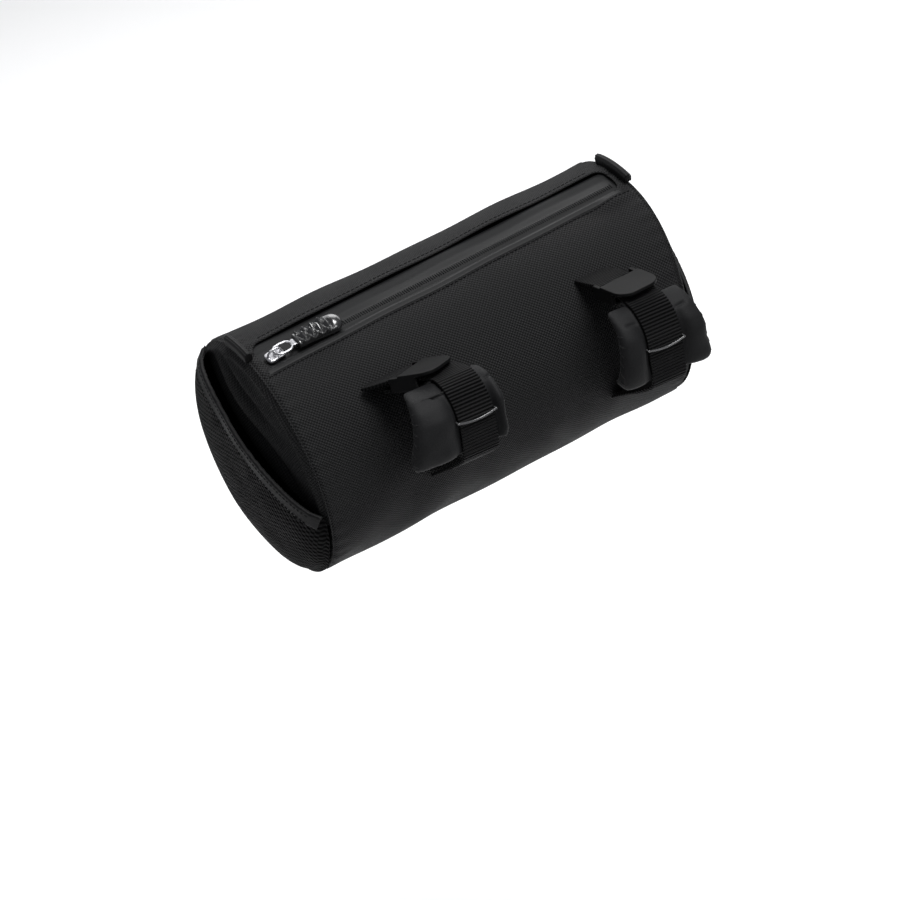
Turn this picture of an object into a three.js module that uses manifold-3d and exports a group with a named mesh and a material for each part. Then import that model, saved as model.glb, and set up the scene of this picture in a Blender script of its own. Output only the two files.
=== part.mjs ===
// Roll-shaped bicycle handlebar bag: a fabric barrel with a zip along its top, a stretch mesh pocket on each
// round end, and two webbing straps with ladder buckles that hold it to the bar over foam pads.
// Millimetres. X runs along the handlebar to the rider's right, Y forwards and Z up, and the origin is on the
// handlebar's axis, midway between the two straps.

import * as THREE from 'three';
import { mergeVertices } from 'three/addons/utils/BufferGeometryUtils.js';
import Module from 'manifold-3d';

const wasm = await Module();
wasm.setup();

// Clearance between pieces that touch on the real bag
const gap = 0.3;

// Handlebar and the straps' place on it
const barDiameter = 25.4;
const barClearance = 0.3;
const strapSpacing = 109;
const anchorSpacing = 128;

// Barrel of the bag
const bagDiameter = 130;
const bagLength = 224;
const bagWall = 1.6;
const bagSideways = -11;
const bagForward = 88;
const bagDrop = 33;
const bagTilt = 4;

// Zip along the top, its angle measured from the front over the top to the rear
const zipAngle = 102;
const zipTwist = 5;
const windowFront = 14;
const windowRear = 6;
const windowInset = 5;
const windowCorner = 6;
const tapeThickness = 1.2;
const tapeMargin = 4;
const lipWidth = 2.6;
const lipHeight = 0.9;
const coilWidth = 3.2;
const coilHeight = 0.5;

// Slider and pull
const sliderInset = 7.5;
const sliderLength = 10;
const sliderWidth = 7.6;
const sliderHeight = 2.2;
const bailWire = 1.5;
const linkLength = 11.5;
const linkWidth = 8.4;
const linkWire = 1.5;
const shankLength = 4.6;
const shankWidth = 4.2;
const gripLength = 27;
const gripNeck = 8.8;
const gripEnd = 11.9;
const gripThickness = 4.6;
const facetRows = 5;
const facetRun = 0.72;
const facetHeight = 1.8;
const facetSize = 0.62;
const facetSpread = 0.56;

// Round ends
const endDome = 8;
const endWall = 1.6;
const endFlange = 3;

// The right end is pulled in towards its rear and underside, furthest at one angle of the rim
const endPull = 9.5;
const pullAngle = 225;
const pullStart = 20;
const pullFrom = -0.5;
const pullFull = 1.2;

// Stretch mesh pockets on the ends, their mouths between two angles of the rim
const pocketDome = 15;
const pocketWall = 1.2;
const mouthFront = 51;
const mouthRear = 185;
const bindingWidth = 8;
const bindingThickness = 1.5;
const holePitch = 14;
const holeRowPitch = 12.6;
const holeSize = 10.4;
const holeMargin = 5;

// Webbing tabs at the zip's two ends
const tabLength = 25;
const tabStretch = 3;
const tabHeight = 5.2;
const tabThickness = 4.2;
const tabAngle = 91.5;

// Webbing straps
const webbingWidth = 20;
const webbingThickness = 1.5;
const anchorAngle = 138;
const lowerAngle = 197;
const seatDepth = 3;

// Foam pads between straps and bar; on the right the pad and buckle sit further round the bar
const rightSlide = 5.5;
const padWidth = 48;
const padThickness = 9;
const padGroove = 4.2;
const padLeg = 15;
const padStart = 64;
const padShiftTop = 4.5;
const padShiftBottom = 11.5;
const padUnder = 9;
const padUnderSlope = 1.2;
const keeperThickness = 0.8;
const keeperWidth = 1.4;
const keeperPlace = 26;
const keeperShift = 2;

// Ladder buckles
const buckleBack = 24.5;
const buckleBar = 3;
const lockingBar = 2.8;
const lockingPlace = 9;
const railThickness = 2.2;
const railHeight = 6;
const railLength = 15;
const plateLength = 20;
const plateThickness = 1.8;
const plateCorner = 8.5;
const plateRise = 3.5;
const foldLength = 9;

// Finishes
const finishes = {
  fabric: { color: 0x18181a, roughness: 0.85, metalness: 0 },
  mesh: { color: 0x141415, roughness: 0.9, metalness: 0 },
  elastic: { color: 0x1b1b1d, roughness: 0.8, metalness: 0 },
  tape: { color: 0x222325, roughness: 0.6, metalness: 0 },
  webbing: { color: 0x171719, roughness: 0.75, metalness: 0 },
  foam: { color: 0x1a1a1c, roughness: 0.95, metalness: 0 },
  plastic: { color: 0x121213, roughness: 0.45, metalness: 0 },
  gloss: { color: 0x151516, roughness: 0.2, metalness: 0 },
  nickel: { color: 0xb4b4b6, roughness: 0.25, metalness: 1 },
  rubber: { color: 0x101011, roughness: 0.35, metalness: 0 },
};

// Soft dents of the barrel: place along half its length, angle, depth and reach as shares of the radius
const dents = [
  { along: 0.12, angle: 142, depth: 0.030, length: 0.30, turn: 26 },
  { along: -0.34, angle: 150, depth: 0.022, length: 0.22, turn: 24 },
  { along: 0.62, angle: 158, depth: 0.020, length: 0.30, turn: 20 },
  { along: -0.70, angle: 172, depth: 0.024, length: 0.26, turn: 22 },
  { along: -0.10, angle: 42, depth: 0.018, length: 0.50, turn: 24 },
  { along: 0.50, angle: 262, depth: 0.016, length: 0.45, turn: 30 },
];

// Folds of an end panel, which lie along the pocket's mouth: distance from the bag's axis towards the mouth's open
// side and width as shares of the radius, and height as a share of the dome
const endFolds = [
  { open: 0.44, height: -0.22, width: 0.13 },
  { open: 0.66, height: 0.34, width: 0.12 },
  { open: 0.84, height: -0.30, width: 0.09 },
];

// Fullness of a mesh pocket round its rim, as shares of its dome
const pocketFullness = [
  { angle: -175, share: 0.62 },
  { angle: -130, share: 0.66 },
  { angle: -90, share: 0.80 },
  { angle: -45, share: 1.00 },
  { angle: 0, share: 1.00 },
  { angle: 40, share: 0.88 },
  { angle: 75, share: 0.62 },
  { angle: 118, share: 0.84 },
  { angle: 185, share: 0.62 },
];

const pocketMiddle = 0.86;

// Shape of a foam pad's lobe: place as a share of the way from the pad's side to the strap's groove, height as a
// share of the pad's thickness above the groove
const padLobes = [
  { across: 0.00, height: 0.30 },
  { across: 0.16, height: 0.84 },
  { across: 0.46, height: 1.00 },
  { across: 0.74, height: 0.94 },
  { across: 0.94, height: 0.50 },
];

// How far the lobes of a foam pad stand up along its run, from the front of the bar round to the end of its leg,
// and the pad's width there as a share of its middle width
const padRun = [
  { run: 0.00, height: 0.00, width: 0.88 },
  { run: 0.16, height: 0.03, width: 0.92 },
  { run: 0.30, height: 0.48, width: 0.96 },
  { run: 0.42, height: 0.78, width: 1.00 },
  { run: 0.50, height: 1.00, width: 1.02 },
  { run: 0.85, height: 1.00, width: 1.10 },
  { run: 0.96, height: 0.70, width: 1.06 },
  { run: 1.00, height: 0.15, width: 1.00 },
];

// Sides of the bag: the sign of X for each name
const sides = [
  { name: 'left', sign: -1 },
  { name: 'right', sign: 1 },
];

const bagRadius = bagDiameter / 2;
const halfLength = bagLength / 2;
const barRadius = barDiameter / 2 + barClearance;
const radians = THREE.MathUtils.degToRad;
const degrees = THREE.MathUtils.radToDeg;
const lerp = THREE.MathUtils.lerp;

// Value of a table's column between its rows, by a smooth step from row to row
function tableValue(rows, key, column, place) {
  let value = rows[0][column];
  for (let i = 1; i < rows.length; i += 1) {
    const share = THREE.MathUtils.smoothstep(place, rows[i - 1][key], rows[i][key]);
    value += (rows[i][column] - rows[i - 1][column]) * share;
  }
  return value;
}

// Closed geometry from points and triangles, its faces turned outwards
function solidFrom(points, triangles) {
  let volume = 0;
  const cross = new THREE.Vector3();
  for (const [a, b, c] of triangles) {
    volume += cross.crossVectors(points[b], points[c]).dot(points[a]);
  }
  const index = volume > 0 ? triangles.flat() : triangles.flatMap(([a, b, c]) => [a, c, b]);
  const geometry = new THREE.BufferGeometry();
  geometry.setAttribute('position', new THREE.Float32BufferAttribute(points.flatMap((p) => p.toArray()), 3));
  geometry.setIndex(index);
  geometry.computeVertexNormals();
  return geometry;
}

// Triangles that close a ring of points, which may be hollow-sided
function capTriangles(ring) {
  const normal = new THREE.Vector3();
  ring.forEach((point, i) => {
    normal.add(new THREE.Vector3().crossVectors(point, ring[(i + 1) % ring.length]));
  });
  normal.normalize();
  const across = new THREE.Vector3().subVectors(ring[1], ring[0]).normalize();
  const along = new THREE.Vector3().crossVectors(normal, across);
  const flat = ring.map((point) => new THREE.Vector2(point.dot(across), point.dot(along)));
  return THREE.ShapeUtils.triangulateShape(flat, []);
}

// Skin over rings of equal count: closed with end caps, or joined last to first for a hollow piece
function skin(rings, looped = false) {
  const count = rings[0].length;
  const triangles = [];
  const steps = looped ? rings.length : rings.length - 1;
  for (let i = 0; i < steps; i += 1) {
    const here = i * count;
    const next = ((i + 1) % rings.length) * count;
    for (let j = 0; j < count; j += 1) {
      const k = (j + 1) % count;
      triangles.push([here + j, next + j, next + k], [here + j, next + k, here + k]);
    }
  }
  if (!looped) {
    const last = (rings.length - 1) * count;
    capTriangles(rings[0]).forEach(([a, b, c]) => triangles.push([a, b, c]));
    capTriangles(rings.at(-1)).forEach(([a, b, c]) => triangles.push([last + a, last + c, last + b]));
  }
  return solidFrom(rings.flat(), triangles);
}

// Solid of a closed geometry for cuts and joins
function toSolid(geometry) {
  const bare = geometry.index ? geometry.clone() : geometry;
  bare.deleteAttribute('normal');
  bare.deleteAttribute('uv');
  const merged = mergeVertices(bare, 1e-4);
  return new wasm.Manifold(new wasm.Mesh({
    numProp: 3,
    vertProperties: new Float32Array(merged.attributes.position.array),
    triVerts: new Uint32Array(merged.index.array),
  }));
}

function fromSolid(solid) {
  const mesh = solid.getMesh();
  const geometry = new THREE.BufferGeometry();
  geometry.setAttribute('position', new THREE.Float32BufferAttribute(mesh.vertProperties, 3));
  geometry.setIndex(Array.from(mesh.triVerts));
  geometry.computeVertexNormals();
  return geometry;
}

function joined(geometries) {
  return fromSolid(geometries.map(toSolid).reduce((whole, piece) => whole.add(piece)));
}

function cut(geometry, cutter) {
  return fromSolid(toSolid(geometry).subtract(toSolid(cutter)));
}

function piece(name, geometry, finish) {
  const mesh = new THREE.Mesh(geometry, new THREE.MeshStandardMaterial(finishes[finish]));
  mesh.name = name;
  return mesh;
}

// Point at a radius and an angle from the front over the top, about an axis along X
function polar(x, radius, angle) {
  return new THREE.Vector3(x, radius * Math.cos(radians(angle)), radius * Math.sin(radians(angle)));
}

// Band of a given width and thickness along a route. Each station has a place, the band's own width direction
// and the direction of its upper face.
function band(stations, width, thickness) {
  const corners = [[-1, -1], [1, -1], [1, 1], [-1, 1]];
  return skin(stations.map(({ place, side, up }) => corners.map(([a, b]) => place.clone()
    .addScaledVector(side, a * width / 2)
    .addScaledVector(up, b * thickness / 2))));
}

// Stations along a smooth curve through route points, each point with the band's width direction there
function stationsAlong(route, spacing) {
  const curve = new THREE.CatmullRomCurve3(route.map(({ at }) => at), false, 'centripetal');
  const spans = route.length - 1;
  const shares = route.slice(1).flatMap(({ at }, i) => {
    const count = Math.ceil(at.distanceTo(route[i].at) / spacing);
    return steps(i, i + 1, count).slice(1);
  });
  return [0, ...shares].map((share) => {
    const from = Math.min(Math.floor(share), spans - 1);
    const forward = curve.getTangent(share / spans);
    const side = route[from].side.clone().lerp(route[from + 1].side, share - from);
    side.addScaledVector(forward, -side.dot(forward)).normalize();
    return { place: curve.getPoint(share / spans), side, up: new THREE.Vector3().crossVectors(side, forward) };
  });
}

// Frame of the bag: pieces of the barrel are built about its own centre and hang in this group
const bag = new THREE.Group();
bag.position.set(bagSideways, bagForward, -bagDrop);
bag.rotation.y = -radians(bagTilt);
bag.updateMatrixWorld();

// Depth of the soft dents at a place on the barrel
function dentDepth(x, angle) {
  return dents.reduce((total, dent) => {
    const along = (x / halfLength - dent.along) / dent.length;
    const turn = (THREE.MathUtils.euclideanModulo(angle - dent.angle + 180, 360) - 180) / dent.turn;
    return total + dent.depth * bagRadius * Math.exp(-(along ** 2) - turn ** 2);
  }, 0);
}

// Angle of the zip's centre line, which runs a little rearwards at the left end
function zipLine(x) {
  return zipAngle - zipTwist * x / bagLength;
}

// Point on the barrel at a distance from the zip's centre line, rearwards positive
function onZip(x, offset, radius) {
  return polar(x, radius, zipLine(x) + degrees(offset / bagRadius));
}

// Rounded outline in the plane of the zip: length along X, and distances in front of and behind its centre line
function zipOutline(inset, front, rear, corner) {
  const end = halfLength - inset;
  const shape = new THREE.Shape();
  shape.absarc(end - corner, rear - corner, corner, 0, Math.PI / 2);
  shape.absarc(-end + corner, rear - corner, corner, Math.PI / 2, Math.PI);
  shape.absarc(-end + corner, -front + corner, corner, Math.PI, Math.PI * 1.5);
  shape.absarc(end - corner, -front + corner, corner, Math.PI * 1.5, Math.PI * 2);
  return shape.getPoints(4).slice(0, -1);
}

// Even steps from one value to another
function steps(from, to, count) {
  return Array.from({ length: count + 1 }, (_, i) => lerp(from, to, i / count));
}

// Prism through the barrel's wall under an outline, following the barrel's curve
function prismOnZip(outline, low, high) {
  const ring = (radius) => outline.map((point) => onZip(point.x, point.y, radius));
  return skin([ring(low), ring(high)]);
}

// Geometry in the bag's frame with the right end pulled in
function pulled(geometry) {
  const { position } = geometry.attributes;
  for (let i = 0; i < position.count; i += 1) {
    const x = position.getX(i);
    const towards = position.getY(i) * Math.cos(radians(pullAngle)) + position.getZ(i) * Math.sin(radians(pullAngle));
    const share = THREE.MathUtils.smoothstep(towards / bagRadius, pullFrom, pullFull);
    position.setX(i, x - endPull * share * THREE.MathUtils.smoothstep(x, pullStart, halfLength));
  }
  geometry.computeVertexNormals();
  return geometry;
}

// Barrel wall with a rounded window for the zip and a folded lip along the window's front edge
function barrel() {
  const around = 36;
  const stations = steps(-halfLength, halfLength, 10);
  const ring = (x, depth) => steps(0, 360, around).slice(0, -1)
    .map((angle) => polar(x, bagRadius - depth - dentDepth(x, angle), angle));
  const outside = stations.map((x) => ring(x, 0));
  const inside = stations.map((x) => ring(x, bagWall)).reverse();
  const wall = skin([...outside, ...inside], true);
  const outline = zipOutline(windowInset, windowFront, windowRear, windowCorner);
  const window = prismOnZip(outline, bagRadius - bagWall * 3, bagRadius + bagWall * 3);
  return joined([cut(wall, window), lip()]);
}

// Folded lip: a low bead that follows the front edge of the window and turns in at its ends
function lip() {
  const end = halfLength - windowInset;
  const low = bagRadius - bagWall / 2;
  const high = bagRadius + lipHeight;
  const front = windowFront;
  const turn = windowCorner;
  const shape = new THREE.Path();
  shape.moveTo(-end, windowRear / 2);
  shape.lineTo(-end, -front + turn);
  shape.absarc(-end + turn, -front + turn, turn, Math.PI, Math.PI * 1.5);
  steps(-end + turn, end - turn, 10).slice(1).forEach((x) => shape.lineTo(x, -front));
  shape.absarc(end - turn, -front + turn, turn, Math.PI * 1.5, Math.PI * 2);
  shape.lineTo(end, windowRear / 2);
  const route = shape.getPoints(4).filter((point, i, all) => i === 0 || point.distanceTo(all[i - 1]) > gap);
  return skin(route.map((point, i) => {
    const ahead = route[Math.min(i + 1, route.length - 1)];
    const behind = route[Math.max(i - 1, 0)];
    const along = new THREE.Vector2().subVectors(ahead, behind).normalize();
    const outward = new THREE.Vector2(along.y, -along.x);
    const at = (distance, radius) => onZip(
      point.x + outward.x * distance,
      point.y + outward.y * distance,
      radius,
    );
    return [
      at(0, low), at(0, high - lipHeight / 3), at(lipWidth / 3, high),
      at(lipWidth, low + bagWall / 2), at(lipWidth, low),
    ];
  }));
}

// Zip tape under the window, with the ridge of its closed coil
function zipTape() {
  const top = bagRadius - bagWall - gap;
  const bottom = top - tapeThickness;
  const end = halfLength - gap;
  const front = -windowFront - tapeMargin;
  const rear = windowRear + tapeMargin;
  const coil = coilWidth / 2;
  const ridgeEnd = halfLength - windowInset - gap;
  const profile = (ridge) => [
    ...steps(front, -coil, 3).map((offset) => [offset, top]),
    [-coil / 2, top + ridge], [coil / 2, top + ridge],
    ...steps(coil, rear, 3).map((offset) => [offset, top]),
    ...steps(rear, front, 4).map((offset) => [offset, bottom]),
  ];
  const ridged = steps(-ridgeEnd + coilWidth, ridgeEnd - coilWidth, 8);
  const stations = [-end, -ridgeEnd, ...ridged, ridgeEnd, end];
  return skin(stations.map((x) => profile(ridged.includes(x) ? coilHeight : 0).map(([offset, radius]) => {
    const depth = dentDepth(x, zipLine(x) + degrees(offset / bagRadius));
    return onZip(x, offset, radius - depth);
  })));
}

// Mouth of the pocket: the chord across the rim, as a point, its direction and the way to the open side
const mouthMiddle = (mouthFront + mouthRear) / 2;
const mouthDistance = bagRadius * Math.cos(radians((mouthRear - mouthFront) / 2));
const mouthHalf = bagRadius * Math.sin(radians((mouthRear - mouthFront) / 2));

// Height of an end panel's outer face over its rim
function endHeight(radius, angle) {
  const share = Math.min(radius / (bagRadius - endFlange), 1);
  const dome = endDome * (1 - share ** 2);
  const open = radius * Math.cos(radians(angle - mouthMiddle)) / bagRadius;
  const folds = endFolds.reduce((total, fold) => (
    total + fold.height * Math.exp(-(((open - fold.open) / fold.width) ** 2))
  ), 0);
  return dome + endDome * folds * Math.sin(Math.PI * share) ** 2;
}

// Height of a mesh pocket's outer face over its own rim
function pocketHeight(radius, angle) {
  const share = Math.min(radius / (bagRadius - endFlange), 1);
  const turned = THREE.MathUtils.euclideanModulo(angle + 175, 360) - 175;
  const full = lerp(pocketMiddle, tableValue(pocketFullness, 'angle', 'share', turned), share ** 2);
  return pocketDome * full * Math.sqrt(1 - share ** 3);
}

// Hollow dome on a round end: rings from the middle of the inner face out over the rim and back to the middle
function domeShell(height, base, wall, sign, shares) {
  const around = 30;
  const inner = bagRadius - endFlange;
  const ring = (radius, depth) => steps(0, 360, around).slice(0, -1)
    .map((angle) => polar(sign * (base + height(radius, angle) + wall - depth), radius, angle));
  const under = shares.map((share) => ring(inner * share, wall));
  const over = shares.map((share) => ring(inner * share, 0)).reverse();
  return skin([...under, ring(bagRadius, wall), ring(bagRadius, 0), ...over]);
}

const endBase = halfLength + gap;
const pocketBase = endBase + endWall + gap;

// Place in the end's plane from a distance along the mouth and a distance towards its open side
function atMouth(along, open) {
  const turned = new THREE.Vector2(open, along).rotateAround(new THREE.Vector2(), radians(mouthMiddle));
  return { radius: turned.length(), angle: degrees(Math.atan2(turned.y, turned.x)) };
}

// Box across the end of the bag, on the open side of a line along the pocket's mouth
function openSide(sign, from) {
  const reach = bagDiameter;
  const rings = [-reach, reach].map((along) => [[from, 0], [reach, 0], [reach, reach], [from, reach]]
    .map(([open, out]) => {
      const { radius, angle } = atMouth(along, open);
      return polar(sign * (halfLength + out), radius, angle);
    }));
  return skin(rings);
}

// Stretch mesh pocket: a domed shell below its mouth, pierced all over
function meshPocket(sign) {
  const shell = domeShell(pocketHeight, pocketBase, pocketWall, sign, [0.2, 0.52, 0.76, 0.92, 1]);
  let solid = toSolid(shell).subtract(toSolid(openSide(sign, mouthDistance)));
  const reach = Math.ceil(bagRadius / holePitch);
  const limit = bagRadius - endFlange - holeMargin;
  const first = mouthDistance - bindingWidth - holeRowPitch / 2;
  const rowCount = Math.floor((first + limit) / holeRowPitch);
  for (let row = 0; row <= rowCount; row += 1) {
    for (let column = -reach; column <= reach; column += 1) {
      const along = (column - (row % 2) / 2) * holePitch;
      const open = first - holeRowPitch * row;
      if (atMouth(along, open).radius + holeSize / 2 < limit) {
        solid = solid.subtract(toSolid(holePin(sign, along, open)));
      }
    }
  }
  return fromSolid(solid);
}

// Four-sided pin through a pocket's shell
function holePin(sign, along, open) {
  const rings = [halfLength, halfLength + pocketDome * 2 + endWall].map((x) => steps(0, 360, 4).slice(0, -1)
    .map((turn) => {
      const { radius, angle } = atMouth(
        along + Math.cos(radians(turn)) * holeSize / 2,
        open + Math.sin(radians(turn)) * holeSize / 2,
      );
      return polar(sign * x, radius, angle);
    }));
  return skin(rings);
}

// Elastic band sewn over the pocket's mouth: it wraps the mesh's edge on both faces
function pocketBinding(sign) {
  const cover = gap + bindingThickness / 2;
  const height = (along, open) => {
    const { radius, angle } = atMouth(along, open);
    return pocketBase + pocketHeight(radius, angle);
  };
  const reach = mouthHalf - endFlange / 2;
  return skin(steps(-reach, reach, 20).map((along) => {
    const low = Math.max(mouthDistance - bindingWidth, 0);
    const at = (open, over) => {
      const { radius, angle } = atMouth(along, open);
      return polar(sign * (height(along, Math.min(open, mouthDistance)) + pocketWall + over), radius, angle);
    };
    const edge = mouthDistance + gap;
    return [
      at(low, gap * 1.5), at(edge, gap * 1.5), at(edge, -pocketWall), at(edge + cover, -pocketWall),
      at(edge + cover, gap + cover), at(low, gap + cover),
    ];
  }));
}

// Folded webbing tab that stands in the seam at one end of the zip
function endTab(sign) {
  const turn = degrees((tabLength + sign * tabStretch) / 2 / bagRadius);
  const low = bagRadius + gap;
  const half = tabThickness / 2;
  const profile = [
    [-half, 0], [half, 0], [half, tabHeight - half], [half * 0.7, tabHeight - half * 0.3],
    [0, tabHeight], [-half * 0.7, tabHeight - half * 0.3], [-half, tabHeight - half],
  ];
  return skin(steps(tabAngle - turn, tabAngle + turn, 6).map((angle) => profile
    .map(([along, up]) => polar(sign * halfLength + along, low + up, angle))));
}

// Offset route of a strap and its pad about the bar, from the front over the top and down the rider's side:
// the point and outward direction at a distance along the pad's inner face
const padArc = barRadius * radians(180 - padStart);
const padLength = padArc + padLeg;

function padFrame(distance) {
  if (distance < padArc) {
    const angle = padStart + degrees(distance / barRadius);
    return { point: polar(0, barRadius, angle), out: polar(0, 1, angle) };
  }
  return {
    point: new THREE.Vector3(0, -barRadius, padArc - distance),
    out: new THREE.Vector3(0, -1, 0),
  };
}

// Foam pad: two lobes with a groove between them for the strap, the left pad pushed a little to the left. Below
// the bar its leg swells forwards under the bar.
function foamPad({ x, sign, slide }) {
  const half = padWidth / 2;
  const floor = webbingWidth / 2 + keeperThickness + gap * 3;
  const rest = padThickness - padGroove;
  const stations = [0, 0.12, 0.26, 0.39, 0.5, 0.6, 0.72, 0.86, 0.96, 1];
  return skin(stations.map((run) => {
    const { point, out } = padFrame(run * padLength + slide);
    const lift = tableValue(padRun, 'run', 'height', run);
    const wide = half * tableValue(padRun, 'run', 'width', run);
    const under = Math.max(run * padLength + slide - padArc - barRadius, 0);
    const inside = -Math.min(under * padUnderSlope, padUnder);
    const middle = Math.min(sign, 0) * lerp(padShiftTop, padShiftBottom, run);
    const at = (across, height) => point.clone().addScaledVector(out, height).setX(x + across);
    const lobe = (side) => padLobes.map(({ across, height }) => at(
      lerp(middle + side * wide, side * floor, across),
      padGroove + rest * height * lift,
    ));
    return [
      at(middle + wide, inside), at(middle - wide, inside), ...lobe(-1),
      at(-floor, padGroove), at(floor, padGroove), ...lobe(1).reverse(),
    ];
  }));
}

// Keeper: a thin strip over the strap whose ends are sewn down in the pad's groove, lower on the right strap
function keeper({ x, sign }) {
  const { point, out } = padFrame(keeperPlace + sign * keeperShift);
  const along = new THREE.Vector3().crossVectors(out, new THREE.Vector3(1, 0, 0));
  const inner = webbingWidth / 2 + gap;
  const outer = inner + keeperThickness;
  const under = gap * 2 + webbingThickness;
  const profile = [
    [-outer, 0], [-inner, 0], [-inner, under], [inner, under], [inner, 0], [outer, 0],
    [outer, under + keeperThickness], [-outer, under + keeperThickness],
  ];
  return skin([-keeperWidth / 2, keeperWidth / 2].map((shift) => profile.map(([across, up]) => point.clone()
    .addScaledVector(out, padGroove + gap + up)
    .addScaledVector(along, shift)
    .setX(x + across))));
}

// Radius of the strap's middle round the bar
const strapRadius = barRadius + padGroove + gap + webbingThickness / 2;

// Set-up of one side: the strap's place on the bar, where its anchor leaves the bag, and the buckle's frame on
// the straight line between them
function strapSide(sign) {
  const x = sign * strapSpacing / 2;
  const anchor = polar(sign * anchorSpacing / 2, bagRadius, anchorAngle).applyMatrix4(bag.matrixWorld);
  const distance = Math.hypot(anchor.y, anchor.z);
  const bearing = degrees(Math.atan2(anchor.z, anchor.y));
  const touch = bearing + degrees(Math.acos(strapRadius / distance));
  const top = polar(x, strapRadius, touch);
  const run = new THREE.Vector3().subVectors(top, anchor).normalize();
  const across = new THREE.Vector3(1, 0, 0).addScaledVector(run, -run.x).normalize();
  const up = new THREE.Vector3().crossVectors(across, run).negate();
  const slide = Math.max(sign, 0) * rightSlide;
  const origin = top.clone().addScaledVector(run, slide - buckleBack);
  const place = (along, rise, side = 0) => origin.clone()
    .addScaledVector(run, along).addScaledVector(up, rise).addScaledVector(across, side);
  return { sign, x, anchor, touch, run, across, up, place, slide };
}

const acrossBar = new THREE.Vector3(1, 0, 0);

// Solid that takes off what a strap's end has inside the bag's surface
function barrelCutter() {
  const cutter = new THREE.CylinderGeometry(bagRadius + gap, bagRadius + gap, bagLength, 44);
  cutter.rotateZ(Math.PI / 2);
  cutter.applyMatrix4(bag.matrixWorld);
  return cutter;
}

// Webbing from the bag to the buckle, folded round the buckle's rear bar and back on itself
function anchorWebbing({ anchor, run, up, across, place }) {
  const turn = buckleBar / 2 + gap + webbingThickness / 2;
  const start = anchor.clone().addScaledVector(run, -seatDepth);
  const loop = [90, 45, 0, -45, -90].map((angle) => place(
    turn * Math.cos(radians(angle)),
    turn * Math.sin(radians(angle)),
  ));
  const points = [start, start.clone().lerp(place(0, turn), 0.5), ...loop, place(-foldLength, -turn)];
  const route = points.map((at) => ({ at, side: across }));
  return cut(band(stationsAlong(route, 6), webbingWidth, webbingThickness), barrelCutter());
}

// Main strap: its end folded round the locking bar, over the pad, down the rider's side and forwards to the bag
function mainStrap({ x, touch, across, place, slide }) {
  const turn = lockingBar / 2 + gap + webbingThickness / 2;
  const loop = [-90, -135, -180, -225, -270].map((angle) => place(
    lockingPlace + turn * Math.cos(radians(angle)),
    turn * Math.sin(radians(angle)),
  ));
  const lift = padGroove + gap + webbingThickness / 2;
  const touchRun = barRadius * radians(touch - padStart);
  const onPad = steps(touchRun, padLength + slide, 9).map((distance) => {
    const { point, out } = padFrame(distance);
    return point.clone().addScaledVector(out, lift).setX(x);
  });
  const seat = polar(0, bagRadius - seatDepth, lowerAngle).applyMatrix4(bag.matrixWorld).setX(x);
  const turnDown = onPad.at(-1).clone();
  turnDown.z -= padLeg / 5;
  turnDown.y += padLeg / 12;
  const route = [
    ...[place(lockingPlace + foldLength / 2, -turn), ...loop].map((at) => ({ at, side: across })),
    ...[...onPad, turnDown, seat].map((at) => ({ at, side: acrossBar })),
  ];
  return cut(band(stationsAlong(route, 6), webbingWidth, webbingThickness), barrelCutter());
}

// Box with its corners at given spans of a buckle's frame: along the strap, upwards and across
function spanBox(place, along, rise, side) {
  const rings = side.map((across) => [[0, 0], [1, 0], [1, 1], [0, 1]]
    .map(([i, j]) => place(along[i], rise[j], across)));
  return skin(rings);
}

// Round bar of a buckle, across the strap
function crossBar(place, diameter, along, half) {
  return skin([-half, half].map((side) => steps(0, 360, 8).slice(0, -1).map((angle) => place(
    along + diameter / 2 * Math.cos(radians(angle)),
    diameter / 2 * Math.sin(radians(angle)),
    side,
  ))));
}

// Ladder buckle: two rails, the rear bar, the locking bar and the thumb plate over them
function buckle({ place }) {
  const inner = webbingWidth / 2 + gap * 2;
  const outer = inner + railThickness;
  const rearEnd = -buckleBar / 2 - gap;
  const rails = [[-outer, -inner], [inner, outer]].map((side) => spanBox(
    place,
    [rearEnd, rearEnd + railLength],
    [-railHeight / 2, plateRise + plateThickness / 2],
    side,
  ));
  const plateStart = buckleBar / 2 + webbingThickness + gap * 3;
  const plateEnd = plateStart + plateLength;
  const plate = new THREE.Shape();
  plate.moveTo(plateStart, -outer);
  plate.lineTo(plateEnd - plateCorner, -outer);
  plate.absarc(plateEnd - plateCorner, -outer + plateCorner, plateCorner, -Math.PI / 2, 0);
  plate.absarc(plateEnd - plateCorner, outer - plateCorner, plateCorner, 0, Math.PI / 2);
  plate.lineTo(plateStart, outer);
  const outline = plate.getPoints(4).filter((point, i, all) => i === 0 || point.distanceTo(all[i - 1]) > gap);
  const thumb = skin([plateRise, plateRise + plateThickness].map((rise) => outline
    .map((point) => place(point.x, rise, point.y))));
  return joined([
    ...rails,
    crossBar(place, buckleBar, 0, inner + railThickness / 2),
    crossBar(place, lockingBar, lockingPlace, inner + railThickness / 2),
    thumb,
  ]);
}

// Frame of the slider on the zip: X along the zip, Y across it towards the front, Z away from the bag
const hardware = new THREE.Group();
const sliderX = -halfLength + windowInset + sliderInset;
const tapeTop = bagRadius - bagWall - gap;
const alongZip = onZip(sliderX + 1, 0, tapeTop).sub(onZip(sliderX, 0, tapeTop)).normalize();
const offZip = polar(0, 1, zipLine(sliderX));
const acrossZip = new THREE.Vector3().crossVectors(offZip, alongZip);
hardware.quaternion.setFromRotationMatrix(new THREE.Matrix4().makeBasis(alongZip, acrossZip, offZip));
hardware.position.copy(onZip(sliderX, 0, tapeTop));
bag.add(hardware);

const bailHeight = bailWire + linkWire + gap * 3;
const bailTop = gap + sliderHeight + bailHeight;
const pivotHeight = bailTop - bailWire - linkWire / 2 - gap;

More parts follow.
